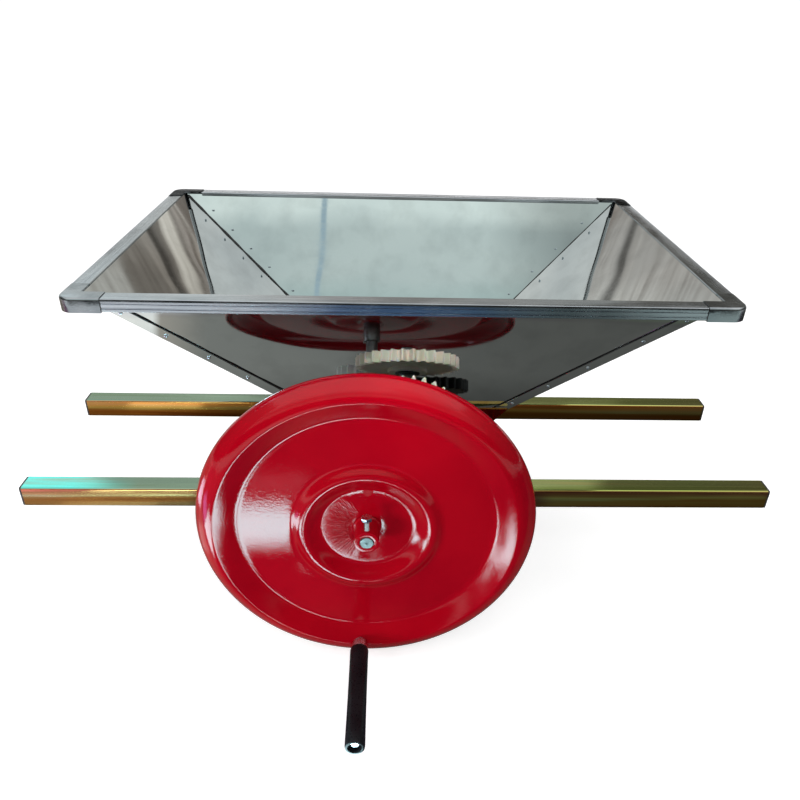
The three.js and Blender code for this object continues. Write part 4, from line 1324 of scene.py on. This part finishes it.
def make_card(name, first_run, second_run, blur, stretch=(1, 1, 1), boards=False, patches=()):
    """A glowing card whose colour is its run along one axis times its run along the other."""
    first_axis, first_stops = first_run
    second_axis, second_stops = second_run
    material = bpy.data.materials.new(name)
    material.use_nodes = True
    tree = material.node_tree
    tree.nodes.clear()
    position = bowed(tree, place(tree)) if boards else place(tree)
    wander = sums(tree, "SUBTRACT", clouds(tree, 1.5, stretch, detail=3.0, distortion=0.5), 0.5)
    first = card_run(tree, position, wander, first_axis, blur, first_stops)
    second = card_run(tree, position, wander, second_axis, blur, second_stops)
    colour = blended(tree, 1.0, first, second, "MULTIPLY")
    for first_span, second_span, shade in patches:
        axes, spans = (first_axis, second_axis), (first_span, second_span)
        lit = lit_patch(tree, position, wander, axes, spans, shade)
        colour = blended(tree, 1.0, colour, lit, "ADD")
    if boards:
        inputs = {"Vector": position, "Scale": (1.6, 0.0, 60.0)}
        moved = add(tree, "ShaderNodeMapping", inputs).outputs[0]
        inputs = {"Vector": moved, "Scale": 1.0, "Detail": 4.0}
        grain = add(tree, "ShaderNodeTexNoise", inputs).outputs[0]
        stops = (0.32, (0.72, 0.71, 0.70)), (0.5, (1.0, 1.0, 1.0)), (0.68, (1.22, 1.23, 1.24))
        streaks = ramp(tree, grain, *stops)
        colour = blended(tree, 1.0, colour, streaks, "MULTIPLY")
    glow = add(tree, "ShaderNodeEmission", {"Color": colour})
    out = add(tree, "ShaderNodeOutputMaterial")
    tree.links.new(glow.outputs[0], out.inputs["Surface"])
    return material


def card_mesh(low, high):
    """A flat card between two corners that share one coordinate."""
    size = Vector(high) - Vector(low)
    middle = (Vector(low) + Vector(high)) / 2
    turned = Matrix.Identity(4)
    if size.y == 0:
        turned = Matrix.Rotation(math.pi / 2, 4, "X")
    if size.x == 0:
        turned = Matrix.Rotation(math.pi / 2, 4, "Y")
    shape = Matrix.Diagonal((*[length or 1.0 for length in size], 1))
    bm = bmesh.new()
    bmesh.ops.create_grid(bm, x_segments=1, y_segments=1, size=0.5, matrix=turned)
    bmesh.ops.transform(bm, matrix=Matrix.Translation(middle) @ shape, verts=bm.verts)
    return bm


def add_card(name, low, high, material):
    card = add_stage(name, card_mesh(low, high), material)
    card.visible_camera = False
    card.visible_diffuse = False
    card.visible_shadow = False
    return card


def grey(value):
    return (value, value * 1.01, value * 0.98)


WALL_ACROSS = (
    (-1.7, (1.50, 1.60, 1.64)),
    (-1.2, (1.50, 1.54, 1.54)),
    (-0.9, (1.72, 1.74, 1.72)),
    (-0.3, (0.96, 0.90, 0.87)),
    (-0.1, (0.90, 0.84, 0.81)),
    (0.1, (0.66, 0.60, 0.56)),
    (0.3, (0.48, 0.42, 0.38)),
    (1.0, (0.30, 0.27, 0.24)),
    (1.7, (0.26, 0.25, 0.23)),
)
WALL_UP = (
    (0.60, grey(0.16)),
    (0.90, grey(0.18)),
    (0.93, (0.32, 0.30, 0.28)),
    (0.955, (0.32, 0.30, 0.28)),
    (0.968, grey(0.90)),
    (0.980, (0.33, 0.31, 0.29)),
    (1.000, (0.34, 0.32, 0.30)),
    (1.020, grey(0.50)),
    (1.095, grey(0.52)),
    (1.115, grey(0.20)),
    (1.138, grey(0.16)),
    (1.150, grey(0.56)),
    (1.170, grey(0.60)),
    (1.190, grey(0.46)),
    (1.420, grey(0.50)),
    (1.700, grey(0.48)),
    (3.200, grey(0.50)),
)
WALL_PATCHES = (
    ((0.04, 0.60, 0.04), (1.030, 1.080, 0.012), (0.42, 0.40, 0.36)),
    ((0.00, 0.60, 0.04), (0.990, 1.002, 0.008), (0.16, 0.15, 0.14)),
    ((0.30, 1.10, 0.10), (1.360, 2.600, 0.040), (0.27, 0.28, 0.27)),
    ((-2.30, -1.62, 0.12), (1.620, 2.050, 0.100), (0.55, 0.62, 0.64)),
)
FRONT_ACROSS = (
    (-2.0, grey(0.90)),
    (0.6, grey(0.96)),
    (1.2, grey(0.50)),
    (2.0, grey(0.66)),
)
FRONT_UP = (
    (-0.15, grey(0.02)),
    (1.05, grey(0.04)),
    (1.15, grey(0.62)),
    (1.60, grey(0.50)),
    (1.95, (0.16, 0.18, 0.19)),
    (2.1, (0.56, 0.70, 0.71)),
    (2.3, (0.68, 0.78, 0.79)),
    (2.65, (0.70, 0.80, 0.81)),
    (2.80, (0.97, 1.08, 1.08)),
    (4.5, (0.97, 1.06, 1.08)),
)
NEAR_ACROSS = (
    (-1.2, (0.76, 0.64, 0.56)),
    (-0.57, (0.70, 0.62, 0.55)),
    (-0.36, grey(0.25)),
    (-0.10, grey(0.21)),
    (-0.05, grey(0.15)),
    (0.25, grey(0.11)),
    (1.0, grey(0.10)),
)
NEAR_AWAY = (
    (-1.1, (0.34, 0.24, 0.36)),
    (-0.405, (0.44, 0.26, 0.50)),
    (-0.365, (0.60, 0.50, 0.60)),
    (-0.350, grey(1.00)),
    (-0.25, grey(1.00)),
    (-0.17, grey(0.42)),
    (3.0, grey(0.42)),
)
# Glowing patches on the near floor card: painted highlights, seen in the wheel's paint and the bars.
NEAR_PATCHES = (
    ((-0.315, -0.200, 0.030), (-0.640, -0.550, 0.025), (9.0, 16.5, 17.5)),
    ((-0.600, -0.420, 0.020), (-0.610, -0.435, 0.012), (8.0, 12.0, 13.0)),
    ((-0.960, -0.640, 0.030), (-0.560, -0.440, 0.020), (3.0, 1.4, 3.6)),
    ((-0.620, -0.465, 0.015), (-0.355, -0.200, 0.020), (0.60, 0.64, 0.66)),
    ((-1.350, -0.850, 0.080), (-0.300, -0.060, 0.040), (5.0, 5.0, 6.4)),
    ((-0.155, -0.060, 0.015), (-0.570, -0.490, 0.015), (10.0, 15.0, 16.0)),
    ((-0.312, -0.187, 0.010), (-0.735, -0.718, 0.006), (1.8, 1.6, 1.8)),
    ((-0.720, -0.400, 0.030), (-0.400, -0.365, 0.012), (0.30, 0.36, 0.38)),
    ((0.300, 0.720, 0.030), (-0.400, -0.365, 0.012), (0.05, 0.09, 0.04)),
)
FAR_ACROSS = (
    (-1.4, (0.86, 0.88, 0.92)),
    (-0.42, (0.94, 0.94, 1.00)),
    (-0.30, (0.10, 0.17, 0.32)),
    (0.20, (0.05, 0.11, 0.22)),
    (0.40, (0.09, 0.12, 0.12)),
    (0.75, (0.08, 0.10, 0.10)),
    (0.90, (0.48, 0.58, 0.58)),
    (1.4, (0.48, 0.58, 0.58)),
)
FAR_AWAY = (
    (-3.4, grey(1.00)),
    (-1.2, grey(1.00)),
)
SIDE_ACROSS = (
    (-2.6, grey(0.30)),
    (2.2, grey(0.20)),
)
SIDE_UP = (
    (-0.15, grey(0.15)),
    (1.4, grey(0.40)),
    (3.2, grey(1.00)),
)
MAT_HEIGHT = 0.001
CORD = (0.42, 0.56, 0.66)
mat_z = FLOOR_Z + MAT_HEIGHT
wall = make_card(
    "brown_wall", ("X", WALL_ACROSS), ("Z", WALL_UP), 0.02, (1, 1, 3), True, WALL_PATCHES
)
front_wall = make_card("grey_blue_wall", ("X", FRONT_ACROSS), ("Z", FRONT_UP), 0.30)
near_mat = make_card(
    "dull_floor_near", ("X", NEAR_ACROSS), ("Y", NEAR_AWAY), 0.04, patches=NEAR_PATCHES
)
far_mat = make_card("dull_floor_far", ("X", FAR_ACROSS), ("Y", FAR_AWAY), 0.10)
side_wall = make_card("dim_side_wall", ("Y", SIDE_ACROSS), ("Z", SIDE_UP), 0.30)
plain_blue = ("X", ((-1.0, CORD), (1.0, CORD)))
cord = make_card("blue_cord", plain_blue, ("Z", ((0.0, grey(1.0)), (4.0, grey(1.0)))), 0.1)
add_card("wall_behind", (-4.0, 2.2, 0.64), (4.0, 2.2, 3.2), wall)
add_card("wall_in_front", (-4.0, -2.6, mat_z), (4.0, -2.6, 4.5), front_wall)
add_card("cord_in_front", (-0.474, -2.59, 2.0), (-0.440, -2.59, 3.3), cord)
add_card("floor_near", (-3.0, -1.1, mat_z), (3.0, 2.2, mat_z), near_mat)
add_card("floor_far", (-3.0, -2.6, mat_z), (3.0, -1.1, mat_z), far_mat)
add_card("wall_left", (-3.9, -2.6, mat_z), (-3.9, 2.2, 3.2), side_wall)
add_card("wall_right", (3.9, -2.6, mat_z), (3.9, 2.2, 3.2), side_wall)
print("cards stand where the camera doesn't see them")

# %% [markdown]
# The world lights the mill evenly from all sides. Area lamps add a soft top light, a window on the left,
# a low key and a weak fill, and a narrow spot reaches the gears behind the wheel. Mirror rays don't see
# the lamps, so no white squares show in the steel: the cards alone give its reflections.

# %% World and lamps
WORLD_LIGHT = 0.62


def make_world():
    world = bpy.data.worlds.new("studio")
    world.use_nodes = True
    tree = world.node_tree
    background = tree.nodes["Background"]
    background.inputs["Color"].default_value = (1.0, 1.0, 1.0, 1.0)
    strength = spread(tree, seen_directly(tree), WORLD_LIGHT, 1.0, 0.0, 1.0)
    tree.links.new(strength, background.inputs["Strength"])
    return world


scene.world = make_world()


def hang_lamp(data, place, target):
    lamp = bpy.data.objects.new(data.name, data)
    scene.collection.objects.link(lamp)
    lamp.location = place
    lamp.rotation_mode = "QUATERNION"
    lamp.rotation_quaternion = (Vector(target) - Vector(place)).to_track_quat("-Z", "Y")
    lamp.visible_camera = False
    lamp.visible_glossy = False


def soft_lamp(name, place, target, width, height, power):
    data = bpy.data.lights.new(name, "AREA")
    data.shape = "RECTANGLE"
    data.size, data.size_y = width, height
    data.energy = power
    hang_lamp(data, place, target)


for lamp_values in (
    ("top_softbox", (0.3, 0.2, 2.6), (0, 0, 0), 2.4, 2.0, 32.0),
    ("left_window", (-1.9, -1.4, 1.1), (0, -0.3, 0.05), 0.6, 1.0, 12.0),
    ("low_key", (-1.0, -1.15, 0.0), (-0.05, -0.3, 0.1), 0.30, 0.25, 8.0),
    ("front_fill", (0.1, -1.2, 1.3), (0, -0.2, 0.15), 0.3, 0.3, 3.0),
):
    soft_lamp(*lamp_values)

gear_spot = bpy.data.lights.new("gear_spot", "SPOT")
gear_spot.energy = 48.0
gear_spot.shadow_soft_size = 0.08
gear_spot.spot_size = math.radians(12.0)
gear_spot.spot_blend = 0.6
hang_lamp(gear_spot, (0.05, -1.05, 1.05), (0.0, -0.21, 0.255))

scene.view_settings.view_transform = "Standard"
